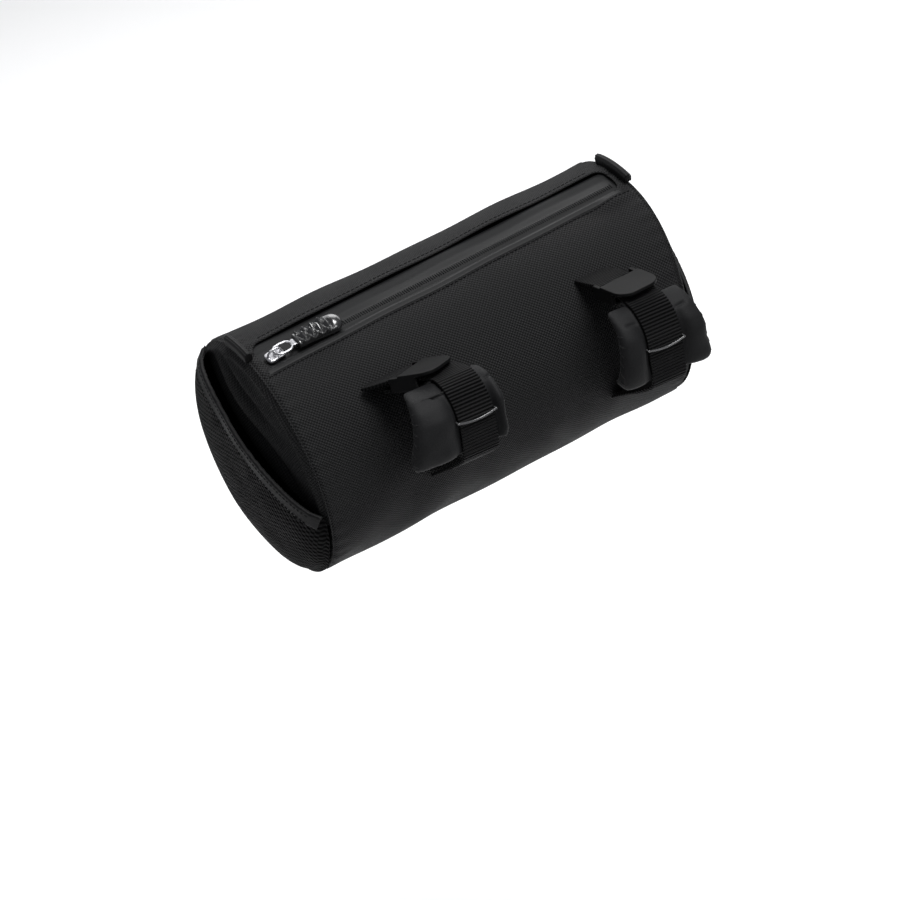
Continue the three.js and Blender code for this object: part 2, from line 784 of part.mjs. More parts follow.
// Rod of a round section along route points
function rod(points, diameter, sectionSides, spacing) {
  const curve = new THREE.CatmullRomCurve3(points, false, 'centripetal');
  const count = Math.ceil(curve.getLength() / spacing);
  const frames = curve.computeFrenetFrames(count, false);
  const places = curve.getSpacedPoints(count);
  return skin(places.map((place, i) => steps(0, 360, sectionSides).slice(0, -1).map((angle) => place.clone()
    .addScaledVector(frames.normals[i], diameter / 2 * Math.cos(radians(angle)))
    .addScaledVector(frames.binormals[i], diameter / 2 * Math.sin(radians(angle))))));
}

// Slider: a body that narrows to the nose at the closed end, with a bail over it for the link
function slider() {
  const half = sliderLength / 2;
  const wide = sliderWidth / 2;
  const shape = new THREE.Shape();
  shape.moveTo(half, -wide * 0.72);
  shape.lineTo(half * 0.2, -wide * 0.8);
  shape.lineTo(-half * 0.4, -wide);
  shape.lineTo(-half * 0.86, -wide * 0.86);
  shape.lineTo(-half, -wide * 0.4);
  shape.lineTo(-half, wide * 0.4);
  shape.lineTo(-half * 0.86, wide * 0.86);
  shape.lineTo(-half * 0.4, wide);
  shape.lineTo(half * 0.2, wide * 0.8);
  shape.lineTo(half, wide * 0.72);
  const low = coilHeight + gap;
  const top = gap + sliderHeight;
  const body = skin([low, top - (top - low) / 4].map((z) => shape.getPoints()
    .map((point) => new THREE.Vector3(point.x, point.y, z))));
  const crown = skin([top - (top - low) / 3, top].map((z, i) => shape.getPoints()
    .map((point) => new THREE.Vector3(point.x * (1 - i * 0.14), point.y * (1 - i * 0.14), z))));
  const foot = half - bailWire;
  const bailRoute = [
    [-foot, top - bailWire / 2], [-foot, top + bailHeight * 0.35], [-foot * 0.55, bailTop - bailWire / 2],
    [foot * 0.55, bailTop - bailWire / 2], [foot, top + bailHeight * 0.35], [foot, top - bailWire / 2],
  ].map(([x, z]) => new THREE.Vector3(x, 0, z));
  return joined([body, crown, rod(bailRoute, bailWire, 6, 1.5)]);
}

// Link: a closed oval of wire through the bail, with a flat shank that the grip is moulded on
function pullLink() {
  const wire = linkWire / 2;
  const ring = new THREE.TorusGeometry(linkWidth / 2 - wire, wire, 6, 16);
  const stretch = (linkLength / 2 - wire) / (linkWidth / 2 - wire);
  const position = ring.attributes.position;
  const straight = (stretch - 1) * (linkWidth / 2 - wire);
  for (let i = 0; i < position.count; i += 1) {
    const x = position.getX(i);
    position.setX(i, x + Math.sign(Math.round(x * 1e3)) * straight);
  }
  const middle = linkLength / 2 - wire;
  ring.translate(middle, 0, 0);
  const start = linkLength - linkWire * 0.8;
  const shank = new THREE.BoxGeometry(shankLength, shankWidth, linkWire).translate(start + shankLength / 2, 0, 0);
  return joined([ring, shank]);
}

// Moulded grip: wider to its round end, hollow where it holds the shank, with rows of raised facets on top
function pullGrip() {
  const start = linkLength + gap;
  const stations = [
    { run: 0.00, wide: 0.88, thick: 0.86 },
    { run: 0.03, wide: 1.00, thick: 1.00 },
    { run: 0.70, wide: 1.14, thick: 1.00 },
    { run: 0.78, wide: 1.28, thick: 1.16 },
    { run: 0.88, wide: 1.32, thick: 1.22 },
    { run: 0.96, wide: 1.16, thick: 1.06 },
    { run: 1.00, wide: 0.80, thick: 0.65 },
  ];
  const widest = Math.max(...stations.map(({ wide }) => wide));
  const flare = (gripEnd / gripNeck - 1) / (widest - 1);
  const body = skin(stations.map(({ run, wide, thick }) => {
    const half = gripNeck / 2 * (1 + (wide - 1) * flare);
    const tall = gripThickness / 2 * thick;
    return [[-1, -0.35], [-0.75, -1], [0.75, -1], [1, -0.35], [1, 0.45], [0.7, 1], [-0.7, 1], [-1, 0.45]]
      .map(([a, b]) => new THREE.Vector3(start + run * gripLength, a * half, b * tall));
  }));
  const room = gap * 2;
  const socket = new THREE.BoxGeometry(shankLength + room, shankWidth + room, linkWire + room)
    .translate(start + shankLength / 2 - room, 0, 0);
  return joined([cut(body, socket), ...gripFacets(start)]);
}

// Raised four-sided facets on the grip, in staggered rows
function gripFacets(start) {
  const pitch = gripLength * facetRun / facetRows;
  const base = gripThickness / 2 - gap;
  return steps(1, facetRows, facetRows - 1).flatMap((row) => {
    const places = row % 2 ? [0] : [-facetSpread, facetSpread];
    return places.map((share) => {
      const facet = new THREE.ConeGeometry(pitch * facetSize, facetHeight, 4);
      facet.rotateX(Math.PI / 2);
      facet.translate(start + pitch * row, share * pitch, base + facetHeight / 2);
      return facet;
    });
  });
}

// Assembly
const handlebarBag = new THREE.Group();
handlebarBag.add(bag);
bag.add(piece('body_panel', pulled(barrel()), 'fabric'));
bag.add(piece('zip_tape', pulled(zipTape()), 'tape'));
hardware.add(piece('slider_body', slider(), 'nickel'));

const pull = new THREE.Group();
pull.position.set(sliderLength / 2 - bailWire * 2.4 - linkWire, 0, pivotHeight);
hardware.add(pull);
pull.add(piece('pull_link', pullLink(), 'nickel'));
pull.add(piece('pull_grip', pullGrip(), 'rubber'));

for (const { name, sign } of sides) {
  const panel = domeShell(endHeight, endBase, endWall, sign, [0.25, 0.5, 0.75, 1]);
  bag.add(piece(`end_panel_${name}`, pulled(panel), 'fabric'));
  bag.add(piece(`mesh_pocket_${name}`, pulled(meshPocket(sign)), 'mesh'));
  bag.add(piece(`pocket_binding_${name}`, pulled(pocketBinding(sign)), 'elastic'));
  bag.add(piece(`end_tab_${name}`, pulled(endTab(sign)), 'webbing'));
  const side = strapSide(sign);
  handlebarBag.add(piece(`foam_pad_${name}`, foamPad(side), 'foam'));
  handlebarBag.add(piece(`keeper_${name}`, keeper(side), 'gloss'));
  handlebarBag.add(piece(`anchor_${name}`, anchorWebbing(side), 'webbing'));
  handlebarBag.add(piece(`strap_${name}`, mainStrap(side), 'webbing'));
  handlebarBag.add(piece(`buckle_${name}`, buckle(side), 'plastic'));
}

export default handlebarBag;
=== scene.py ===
"""Looks of a roll-shaped bicycle handlebar bag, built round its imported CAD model."""

import logging
import math
from dataclasses import dataclass, field
from enum import Enum
from typing import Callable

import bmesh
import bpy
import numpy as np
from mathutils import Euler, Matrix, Vector
from mathutils.bvhtree import BVHTree

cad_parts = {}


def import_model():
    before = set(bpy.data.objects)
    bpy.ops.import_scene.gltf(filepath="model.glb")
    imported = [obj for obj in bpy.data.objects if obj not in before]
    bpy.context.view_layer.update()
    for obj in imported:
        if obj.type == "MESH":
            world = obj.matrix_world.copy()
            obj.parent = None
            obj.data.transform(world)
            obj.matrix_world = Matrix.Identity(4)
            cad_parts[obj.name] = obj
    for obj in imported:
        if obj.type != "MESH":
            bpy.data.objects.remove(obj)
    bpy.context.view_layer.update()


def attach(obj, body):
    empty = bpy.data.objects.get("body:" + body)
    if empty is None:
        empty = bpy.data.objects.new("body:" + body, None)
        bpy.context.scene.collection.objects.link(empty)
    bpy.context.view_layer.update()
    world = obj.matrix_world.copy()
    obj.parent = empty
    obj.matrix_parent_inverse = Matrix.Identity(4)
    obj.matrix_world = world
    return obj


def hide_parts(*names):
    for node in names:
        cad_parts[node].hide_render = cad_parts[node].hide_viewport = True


log = logging.getLogger("handlebar_bag")
Array = np.ndarray

MM = 0.001
TAU = 2 * math.pi
FULL_TURN = 360.0

# Barrel of the bag and its place in the shared frame, in millimetres and degrees
RADIUS = 65.0
HALF_LENGTH = 112.0
WALL = 1.6
GAP = 0.3
BAG_PLACE = (-11.0, 88.0, -33.0)
BAG_TILT = -4.0

# Zip window: its centre line's angle, and distances in front of and behind that line
ZIP_ANGLE = 102.0
ZIP_TWIST = 5.0
WINDOW_FRONT = 14.0
WINDOW_REAR = 6.0
WINDOW_END = 107.0
WINDOW_CORNER = 6.0
TAPE_RADIUS = RADIUS - WALL - GAP

# The right end is pulled in towards its rear and underside, furthest at one angle of the rim
END_PULL = 9.5
PULL_ANGLE = 225.0
PULL_FROM = 20.0
PULL_FULL = 1.2
PULL_NONE = -0.5

# Ends, and the mesh pockets' mouths between two angles of the rim
END_RADIUS = 62.0
END_DOME = 8.0
END_BASE = HALF_LENGTH + GAP
POCKET_DOME = 15.0
POCKET_WALL = 1.2
POCKET_BASE = END_BASE + WALL + GAP
MOUTH_FRONT = 51.0
MOUTH_REAR = 185.0
MOUTH_MIDDLE = (MOUTH_FRONT + MOUTH_REAR) / 2
MOUTH_DISTANCE = RADIUS * math.cos(math.radians((MOUTH_REAR - MOUTH_FRONT) / 2))
MOUTH_HALF = RADIUS * math.sin(math.radians((MOUTH_REAR - MOUTH_FRONT) / 2))
BINDING_WIDTH = 8.0

# Straps and pads on the handlebar
STRAP_X = 54.5
STRAP_MIDDLE = 18.25
STRAP_HALF = 10.0
RIGHT_SLIDE = 5.5
RIB_PITCH = 1.75

# Relief of the pockets' net: how much closer its rows stand than its columns, its swing and its middle; its
# low parts are the holes, painted dark as painted shade
NET_STRETCH = 1.2
NET_SWING = 0.75
NET_MIDDLE = 0.35

# Shares of the fine relief and of slow clouds in a finish's colour, and what the clouds do to its roughness.
# The relief's share is painted shade in the valleys and holes of the weave, net and ribs and a painted
# highlight on their ridges; for grain it is random tone, as are the clouds.
RELIEF_SHARE = 0.85
CLOUD_SHARE = 0.15
CLOUD_SCALE = 0.05
CLOUD_DETAIL = 2.0
ROUGH_SWING = 0.3
ROUGH_DROP = 0.15
SHEEN_ROUGHNESS = 0.4

# Threads and hems: how far a coil and a stitch reach from their middles, in pitches, and counts of points
COIL_REACH = 1.2
STITCH_REACH = 0.36
THREAD_POINTS = 5
THREAD_SIDES = 6
HEM_SIDES = 10
SEAM_SIDES = 8

# Counts of points on the lines that pieces follow
CORNER_POINTS = 9
STRAIGHT_POINTS = 90
ROW_POINTS = 60
COIL_POINTS = 120
BINDING_POINTS = 70
SEAM_POINTS = 180

# Round grids of the ends: the angle of the first column, and the middle ring as an angle in radians
DISC_START = -175.0
DISC_MIDDLE = 0.001

# A distance from the strap's middle that is outside its pad
OUTSIDE_PAD = 60.0

# Softened copies: points closer than this are one, and how far each evening pass moves a point
WELD = 0.002
EVEN_FACTOR = 0.5

# Height of the studio's floor in metres
FLOOR_HEIGHT = -0.55

# Frame of the zip's pull at rest: its pivot, and its directions along the pull, across it and off the bag
PULL_PLACE = (-114.884, 71.551, 24.792)
PULL_FRAME = (
    (0.996842, 0.023823, 0.075756),
    (-0.041647, 0.969063, 0.243276),
    (-0.067616, -0.245662, 0.966994),
)
GRIP_START = 11.8
GRIP_LENGTH = 27.0


class Finish(Enum):
    """Finishes of the scene; a softened CAD node is logged with its finish's name as its slot."""

    FABRIC = "fabric"
    MESH = "mesh"
    ELASTIC = "elastic"
    TAPE = "tape"
    WEBBING = "webbing"
    FOAM = "foam"
    PLASTIC = "plastic"
    GLOSS = "gloss"
    NICKEL = "nickel"
    RUBBER = "rubber"
    THREAD = "thread"
    PAINTED_SHADE_CLOTH = "painted_shade_cloth"
    # Painted shade: the end panel's fabric, made darker where the pocket covers it
    FLOOR = "floor"


class Relief(Enum):
    """Kinds of fine surface relief that a shader draws."""

    NONE = 0
    WEAVE = 1
    NET = 2
    RIBS = 3
    GRAIN = 4


@dataclass(frozen=True)
class Look:
    """Shader values of one finish; contrast is how far ridges and valleys part from the colour, as painted
    highlight and painted shade for the weave, net and ribs, and as random tone for grain.
    """

    color: tuple[float, float, float]
    roughness: float
    metallic: float = 0.0
    coat: float = 0.0
    sheen: float = 0.0
    specular: float = 0.3
    relief: Relief = Relief.NONE
    pitch: float = 1.0
    height: float = 0.1
    contrast: float = 0.25


LOOKS: dict[Finish, Look] = {
    Finish.FABRIC: Look((0.0108, 0.0108, 0.0112), 0.6, specular=0.13, relief=Relief.WEAVE,
                        pitch=1.9, height=0.4, contrast=0.98),
    # Painted shade: a darker copy of the fabric for the end panels under the pockets
    Finish.PAINTED_SHADE_CLOTH: Look((0.0012, 0.0012, 0.0013), 0.8, specular=0.02, contrast=0.2),
    Finish.MESH: Look((0.0034, 0.0034, 0.0036), 0.6, specular=0.04, relief=Relief.NET,
                      pitch=4.4, height=1.0, contrast=0.98),
    Finish.ELASTIC: Look((0.0062, 0.0062, 0.0065), 0.5, specular=0.14, relief=Relief.GRAIN,
                         pitch=0.8, height=0.15, contrast=0.6),
    Finish.TAPE: Look((0.0074, 0.0076, 0.0080), 0.45, specular=0.15, relief=Relief.GRAIN,
                      pitch=0.9, height=0.03, contrast=0.2),
    Finish.WEBBING: Look((0.0030, 0.0030, 0.0032), 0.5, specular=0.08, relief=Relief.RIBS,
                         pitch=RIB_PITCH, height=0.4, contrast=0.98),
    Finish.FOAM: Look((0.0088, 0.0089, 0.0095), 0.6, specular=0.14, sheen=0.02,
                      relief=Relief.GRAIN, pitch=0.6, height=0.14, contrast=0.4),
    Finish.PLASTIC: Look((0.0034, 0.0034, 0.0036), 0.5, specular=0.08, coat=0.02,
                         relief=Relief.GRAIN, pitch=0.4, height=0.01, contrast=0.2),
    Finish.GLOSS: Look((0.0600, 0.0600, 0.0620), 0.2, specular=0.5, coat=0.8),
    Finish.THREAD: Look((0.0030, 0.0030, 0.0033), 0.6, specular=0.1, contrast=0.2),
    Finish.NICKEL: Look((0.60, 0.60, 0.62), 0.32, metallic=1.0, specular=0.5, contrast=0.06),
    Finish.RUBBER: Look((0.0130, 0.0130, 0.0135), 0.26, specular=0.8, coat=1.0, contrast=0.1),
    Finish.FLOOR: Look((0.92, 0.92, 0.92), 0.8, contrast=0.0),
}


class Value:
    """A scalar socket or number with arithmetic, so that shader maths reads as formulas."""

    def __init__(self, tree: bpy.types.NodeTree, source: object) -> None:
        """Keeps the node tree and the socket or number."""
        self.tree = tree
        self.source = source

    def _math(self, operation: str, *terms: object) -> "Value":
        """Adds a Math node.

        Args:
            operation: Blender's name of the operation.
            terms: Values, sockets or numbers that it works on, in order.

        Returns:
            The node's result.
        """
        node = self.tree.nodes.new("ShaderNodeMath")
        node.operation = operation
        for slot, term in zip(node.inputs, terms):
            source = term.source if isinstance(term, Value) else term
            if isinstance(source, bpy.types.NodeSocket):
                self.tree.links.new(source, slot)
            else:
                slot.default_value = source
        return Value(self.tree, node.outputs[0])

    def __add__(self, other: object) -> "Value":
        """Returns the sum."""
        return self._math("ADD", self, other)

    __radd__ = __add__

    def __mul__(self, other: object) -> "Value":
        """Returns the product."""
        return self._math("MULTIPLY", self, other)

    __rmul__ = __mul__

    def __abs__(self) -> "Value":
        """Returns the size of this value without its sign."""
        return self._math("ABSOLUTE", self)

    def sine(self) -> "Value":
        """Returns the sine of this value."""
        return self._math("SINE", self)


class Shader:
    """Builds the procedural material of one finish."""

    def __init__(self, finish: Finish) -> None:
        """Makes an empty material for the finish."""
        self.look = LOOKS[finish]
        self.material = bpy.data.materials.new(finish.value)
        self.material.use_nodes = True
        self.tree = self.material.node_tree
        self.tree.nodes.clear()

    def node(self, kind: str, **inputs: object) -> bpy.types.Node:
        """Adds a node and sets or links its inputs by name.

        Args:
            kind: Blender's name of the node type.
            inputs: Values or sockets, keyed by input name with underscores for blanks.

        Returns:
            The new node.
        """
        made = self.tree.nodes.new(kind)
        for name, value in inputs.items():
            slot = made.inputs[name.replace("_", " ")]
            source = value.source if isinstance(value, Value) else value
            if isinstance(source, bpy.types.NodeSocket):
                self.tree.links.new(source, slot)
            else:
                slot.default_value = source
        return made

    def relief(self, u: Value, v: Value) -> Value:
        """Returns the fine relief at a place on the cloth, in shares of its height."""
        turn = TAU / self.look.pitch
        if self.look.relief is Relief.WEAVE:
            return 0.5 + 0.5 * ((u * turn).sine() * (v * turn).sine())
        if self.look.relief is Relief.NET:
            return NET_MIDDLE + NET_SWING * ((u * turn).sine() * (v * (turn * NET_STRETCH)).sine())
        if self.look.relief is Relief.RIBS:
            return abs((v * (turn / 2)).sine())
        return self.noise(1.0 / self.look.pitch)

    def noise(self, scale: float) -> Value:
        """Returns noise in object space, its scale in cells per millimetre."""
        place = self.node("ShaderNodeTexCoord").outputs["Object"]
        noise = self.node("ShaderNodeTexNoise", Vector=place, Scale=scale / MM, Detail=CLOUD_DETAIL)
        return Value(self.tree, noise.outputs["Fac"])

    def build(self) -> bpy.types.Material:
        """Returns the finished material."""
        look = self.look
        shader = self.node("ShaderNodeBsdfPrincipled", Metallic=look.metallic, Coat_Weight=look.coat,
                           Sheen_Weight=look.sheen, Sheen_Roughness=SHEEN_ROUGHNESS,
                           Specular_IOR_Level=look.specular)
        spread = self.noise(CLOUD_SCALE)
        least = look.roughness * (1 - look.contrast * ROUGH_DROP)
        rough = least + spread * (look.contrast * ROUGH_SWING)
        self.tree.links.new(rough.source, shader.inputs["Roughness"])
        share = spread
        if look.relief is not Relief.NONE:
            cloth = self.node("ShaderNodeAttribute")
            cloth.attribute_name = "cloth"
            parts = self.node("ShaderNodeSeparateXYZ", Vector=cloth.outputs["Vector"])
            u = Value(self.tree, parts.outputs[0])
            v = Value(self.tree, parts.outputs[1])
            height = self.relief(u, v)
            bump = self.node("ShaderNodeBump", Height=height, Distance=look.height * MM)
            self.tree.links.new(bump.outputs[0], shader.inputs["Normal"])
            share = height * RELIEF_SHARE + spread * CLOUD_SHARE
        # Base colour: painted shade in the valleys and holes of the weave, net and ribs and a painted
        # highlight on their ridges; random tone from grain and clouds
        mix = self.node("ShaderNodeMix")
        mix.data_type = "RGBA"
        colors = [slot for slot in mix.inputs if slot.type == "RGBA"]
        colors[0].default_value = (*[part * (1 - look.contrast) for part in look.color], 1)
        colors[1].default_value = (*[part * (1 + look.contrast) for part in look.color], 1)
        self.tree.links.new(share.source, mix.inputs[0])
        shown = [slot for slot in mix.outputs if slot.type == "RGBA"][0]
        self.tree.links.new(shown, shader.inputs["Base Color"])
        output = self.node("ShaderNodeOutputMaterial")
        self.tree.links.new(shader.outputs[0], output.inputs["Surface"])
        return self.material


@dataclass
class Palette:
    """The materials made so far, one for each finish."""

    made: dict[Finish, bpy.types.Material] = field(default_factory=dict)

    def get(self, finish: Finish) -> bpy.types.Material:
        """Returns the material of a finish, building it once."""
        if finish not in self.made:
            self.made[finish] = Shader(finish).build()
        return self.made[finish]


def smooth(value: Array | float, low: float, high: float) -> Array:
    """Returns a smooth step from 0 to 1 between two limits."""
    share = np.clip((np.asarray(value, float) - low) / (high - low), 0, 1)
    return share * share * (3 - 2 * share)


def fading(value: Array | float, low: float, high: float) -> Array:
    """Returns a smooth step from 1 to 0 between two limits."""
    return smooth(-np.asarray(value, float), -high, -low)


def bell(value: Array, middle: float, width: float, period: float = 0.0) -> Array:
    """Returns a bell curve round a middle value, which may repeat with a period."""
    away = value - middle
    if period:
        away = (away + period / 2) % period - period / 2
    return np.exp(-((away / width) ** 2))


def polar(x: Array, radius: Array, angle: Array) -> Array:
    """Returns points about an axis along X, the angle counted from the front over the top."""
    turn = np.radians(angle)
    return np.stack(np.broadcast_arrays(x, radius * np.cos(turn), radius * np.sin(turn)), -1)


def bag_turn() -> Array:
    """Returns the matrix that turns the barrel's own frame to the shared one."""
    return np.array(Euler((0, math.radians(BAG_TILT), 0)).to_matrix())


def in_bag(points: Array) -> Array:
    """Returns points of the barrel's own frame in the shared frame, its right end pulled in."""
    turn = math.radians(PULL_ANGLE)
    towards = (points[..., 1] * math.cos(turn) + points[..., 2] * math.sin(turn)) / RADIUS
    pull = END_PULL * smooth(towards, PULL_NONE, PULL_FULL) * smooth(points[..., 0], PULL_FROM, HALF_LENGTH)
    return (points - np.stack([pull, 0 * pull, 0 * pull], -1)) @ bag_turn().T + np.array(BAG_PLACE)


def bag_way(directions: Array) -> Array:
    """Returns directions of the barrel's own frame in the shared frame."""
    return in_bag(directions) - np.array(BAG_PLACE)


def own_frame(points: Array) -> Array:
    """Returns points of the shared frame in the barrel's own frame."""
    return (points - np.array(BAG_PLACE)) @ bag_turn()


def unit(vectors: Array) -> Array:
    """Returns vectors of length one."""
    return vectors / np.maximum(np.linalg.norm(vectors, axis=-1, keepdims=True), 1e-9)


def outwards(points: Array) -> Array:
    """Returns the directions from the barrel's axis to points of its own frame."""
    return unit(points * [0, 1, 1])


def lengths(line: Array) -> Array:
    """Returns each point's length along its line."""
    return np.concatenate([[0], np.cumsum(np.linalg.norm(np.diff(line, axis=0), axis=1))])


@dataclass
class Skin:
    """Points in millimetres, faces and the place of each point on the cloth."""

    points: Array
    faces: list[tuple[int, ...]]
    cloth: Array

    def piece(self, name: str, finish: Finish, shade: bool = True) -> bpy.types.Object:
        """Makes the mesh object.

        Args:
            name: The object's name.
            finish: What it's made of.
            shade: True for smooth shading.

        Returns:
            The new object, linked to the scene.
        """
        mesh = bpy.data.meshes.new(name)
        mesh.from_pydata((self.points * MM).tolist(), [], self.faces)
        mesh.attributes.new("cloth", "FLOAT_VECTOR", "POINT").data.foreach_set("vector", self.cloth.ravel())
        mesh.polygons.foreach_set("use_smooth", [shade] * len(mesh.polygons))
        mesh.materials.append(palette.get(finish))
        thing = bpy.data.objects.new(name, mesh)
        bpy.context.scene.collection.objects.link(thing)
        return thing

    def capped(self, count: int) -> "Skin":
        """Closes both ends of a rod whose rings have a number of points, and returns the rod."""
        self.faces.append(tuple(range(count)))
        self.faces.append(tuple(reversed(range(len(self.points) - count, len(self.points)))))
        return self


palette = Palette()


def grid(points: Array, cloth: Array, wrap: bool = False,
         keep: Callable[[Array], Array] | None = None) -> Skin:
    """Makes a skin over a grid of points.

    Args:
        points: Rows of points in the shared frame.
        cloth: Each point's place on the cloth, as two lengths.
        wrap: True where the last column meets the first.
        keep: Tells from the faces' corners, as numbers of points, which faces stay.

    Returns:
        The skin.
    """
    rows, columns = points.shape[:2]
    index = np.arange(rows * columns).reshape(rows, columns)
    if wrap:
        index = np.concatenate([index, index[:, :1]], 1)
    corners = np.stack([index[:-1, :-1], index[1:, :-1], index[1:, 1:], index[:-1, 1:]], -1).reshape(-1, 4)
    flat = np.concatenate([cloth, np.zeros((*cloth.shape[:2], 1))], -1).reshape(-1, 3)
    if keep is not None:
        corners = corners[keep(corners)]
    return Skin(points.reshape(-1, 3), [tuple(face) for face in corners.tolist()], flat)


def sweep(path: Array, side: Array, up: Array, outline: Array) -> Skin:
    """Makes a closed rod of any outline along a path.

    Args:
        path: Points along the rod.
        side: Direction of the outline's first value at each point.
        up: Direction of its second value.
        outline: Points of the closed outline, as two lengths.

    Returns:
        The skin, with flat ends.
    """
    rings = path[:, None] + outline[None, :, :1] * side[:, None] + outline[None, :, 1:] * up[:, None]
    cloth = np.stack(np.meshgrid(lengths(path), lengths(outline), indexing="ij"), -1)
    return grid(rings, cloth, wrap=True).capped(len(outline))


def rod(path: Array, out: Array, outline: Array, lift: float = 0.0) -> Skin:
    """Makes a closed rod along a path that lies on a face.

    Args:
        path: Points along the rod.
        out: Direction away from the face at each point.
        outline: Points of the closed outline, as lengths across the rod and away from the face.
        lift: How far the rod is lifted off the path.

    Returns:
        The skin, with flat ends.
    """
    forward = unit(np.gradient(path, axis=0))
    return sweep(path + out * lift, unit(np.cross(forward, out)), out, outline)


def merged(skins: list[Skin]) -> Skin:
    """Returns several skins as one."""
    start = np.cumsum([0] + [len(skin.points) for skin in skins])
    faces = [tuple(k + int(first) for k in face) for skin, first in zip(skins, start) for face in skin.faces]
    points = np.concatenate([skin.points for skin in skins])
    return Skin(points, faces, np.concatenate([skin.cloth for skin in skins]))


def circle(width: float, height: float, count: int) -> Array:
    """Returns an oval outline of a full width and height with a number of points."""
    turn = np.linspace(0, TAU, count, endpoint=False)
    return np.stack([np.cos(turn) * width / 2, np.sin(turn) * height / 2], -1)


def along(points: Array, spacing: float) -> tuple[Array, Array]:
    """Returns evenly spaced points along a line and the line's direction at each."""
    steps = lengths(points)
    count = max(int(steps[-1] / spacing), 2)
    wanted = np.linspace(0, steps[-1], count + 1)
    even = np.stack([np.interp(wanted, steps, points[:, k]) for k in range(3)], -1)
    return even, unit(np.gradient(even, axis=0))


def stitches(points: Array, away: Array, pitch: float, across: bool = False, size: float = 0.5) -> Skin:
    """Makes a row of short raised threads along a line.

    Args:
        points: The line.
        away: Direction away from the cloth, one for the row or one for each point.
        pitch: Distance from thread to thread.
        across: True for threads that lie across the line, as the coils of a zip do.
        size: Thickness of the thread.

    Returns:
        All the threads in one skin.
    """
    places, forward = along(points, pitch)
    out = np.broadcast_to(away, points.shape)
    out = unit(np.stack([np.interp(np.linspace(0, 1, len(places)), np.linspace(0, 1, len(out)), out[:, k])
                         for k in range(3)], -1))
    lie = unit(np.cross(out, forward)) if across else forward
    other = unit(np.cross(lie, out))
    half = pitch * (COIL_REACH if across else STITCH_REACH)
    ends = np.linspace(-1, 1, THREAD_POINTS)
    outline = circle(size, size, THREAD_SIDES)
    threads = []
    for place, run, rise, wide in zip(places, lie, out, other):
        bow = place + np.outer(ends * half, run) + np.outer((1 - ends ** 2) * size * 0.5, rise)
        side = np.tile(wide, (THREAD_POINTS, 1))
        threads.append(sweep(bow, side, np.tile(rise, (THREAD_POINTS, 1)), outline))
    return merged(threads)


def ride(thing: bpy.types.Object, slot: str, body: str = "bag", *nodes: str) -> bpy.types.Object:
    """Fixes a piece to a body, hides the CAD nodes that it stands for and logs it with a slot name."""
    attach(thing, body)
    if nodes:
        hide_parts(*nodes)
    log.info("%s rides on %s, slot %s", thing.name, body, slot)
    return thing


def softened(node: str, voxel: float, passes: int) -> bpy.types.Mesh:
    """Makes a remeshed and evened copy of a CAD node's mesh.

    Args:
        node: The CAD node.
        voxel: Size of the remeshed faces in millimetres.
        passes: How often the points are evened out.

    Returns:
        The new mesh, in metres.
    """
    source = bpy.data.objects[node]
    thing = bpy.data.objects.new(f"{node}_look", source.data.copy())
    thing.matrix_world = source.matrix_world
    bpy.context.scene.collection.objects.link(thing)
    work = bmesh.new()
    work.from_mesh(thing.data)
    work.transform(source.matrix_world)
    bmesh.ops.remove_doubles(work, verts=work.verts, dist=WELD * MM)
    work.to_mesh(thing.data)
    work.free()
    thing.matrix_world = Matrix()
    modifier = thing.modifiers.new("remesh", "REMESH")
    modifier.mode = "VOXEL"
    modifier.voxel_size = voxel * MM
    even = thing.modifiers.new("even", "SMOOTH")
    even.factor = EVEN_FACTOR
    even.iterations = passes
    bpy.context.view_layer.update()
    made = bpy.data.meshes.new_from_object(thing.evaluated_get(bpy.context.evaluated_depsgraph_get()))
    bpy.data.objects.remove(thing)
    return made


def rounded(node: str, finish: Finish, voxel: float, passes: int,
            shape: Callable[[Array, Array], Array] | None = None,
            cloth: Callable[[Array], Array] | None = None, body: str = "bag") -> bpy.types.Object:
    """Makes a soft-edged copy of a CAD node that stands for it.

    Args:
        node: The CAD node.
        finish: What the piece is made of.
        voxel: Size of the remeshed faces in millimetres.
        passes: How often the points are evened out.
        shape: Moves the points, from points in millimetres and outward directions.
        cloth: Place of each point on the cloth.
        body: The body that carries it.

    Returns:
        The new piece.
    """
    made = softened(node, voxel, passes)
    count = len(made.vertices)
    points = np.empty(count * 3)
    made.vertices.foreach_get("co", points)
    normals = np.empty(count * 3)
    made.vertices.foreach_get("normal", normals)
    points = points.reshape(-1, 3) / MM
    if shape is not None:
        points = shape(points, normals.reshape(-1, 3))
    places = points if cloth is None else cloth(points)
    faces = [tuple(face.vertices) for face in made.polygons]
    piece = Skin(points, faces, places).piece(f"{node}_look", finish)
    bpy.data.meshes.remove(made)
    return ride(piece, finish.value, body, node)


@dataclass(frozen=True)
class Dent:
    """A soft dent of the barrel: place along half its length, angle, depth, length and turn."""

    along: float
    angle: float
    depth: float
    length: float
    turn: float

    def at(self, x: Array, angle: Array) -> Array:
        """Returns the dent's depth at a place on the barrel."""
        along = bell(x / HALF_LENGTH, self.along, self.length)
        return self.depth * along * bell(angle, self.angle, self.turn, FULL_TURN)


DENTS = (
    Dent(0.12, 142, 1.95, 0.30, 26),
    Dent(-0.34, 150, 1.43, 0.22, 24),
    Dent(0.62, 158, 1.30, 0.30, 20),
    Dent(-0.70, 172, 1.56, 0.26, 22),
    Dent(-0.10, 42, 1.17, 0.50, 24),
    Dent(0.50, 262, 1.04, 0.45, 30),
)


@dataclass(frozen=True)
class WindowFold:
    """A short fold behind the window: height, middle and reach along the zip, middle and reach across it."""

    height: float
    along: float
    length: float
    across: float
    width: float

    def at(self, x: Array, offset: Array) -> Array:
        """Returns the fold's height at a place on the barrel."""
        return self.height * bell(x, self.along, self.length) * bell(offset, self.across, self.width)


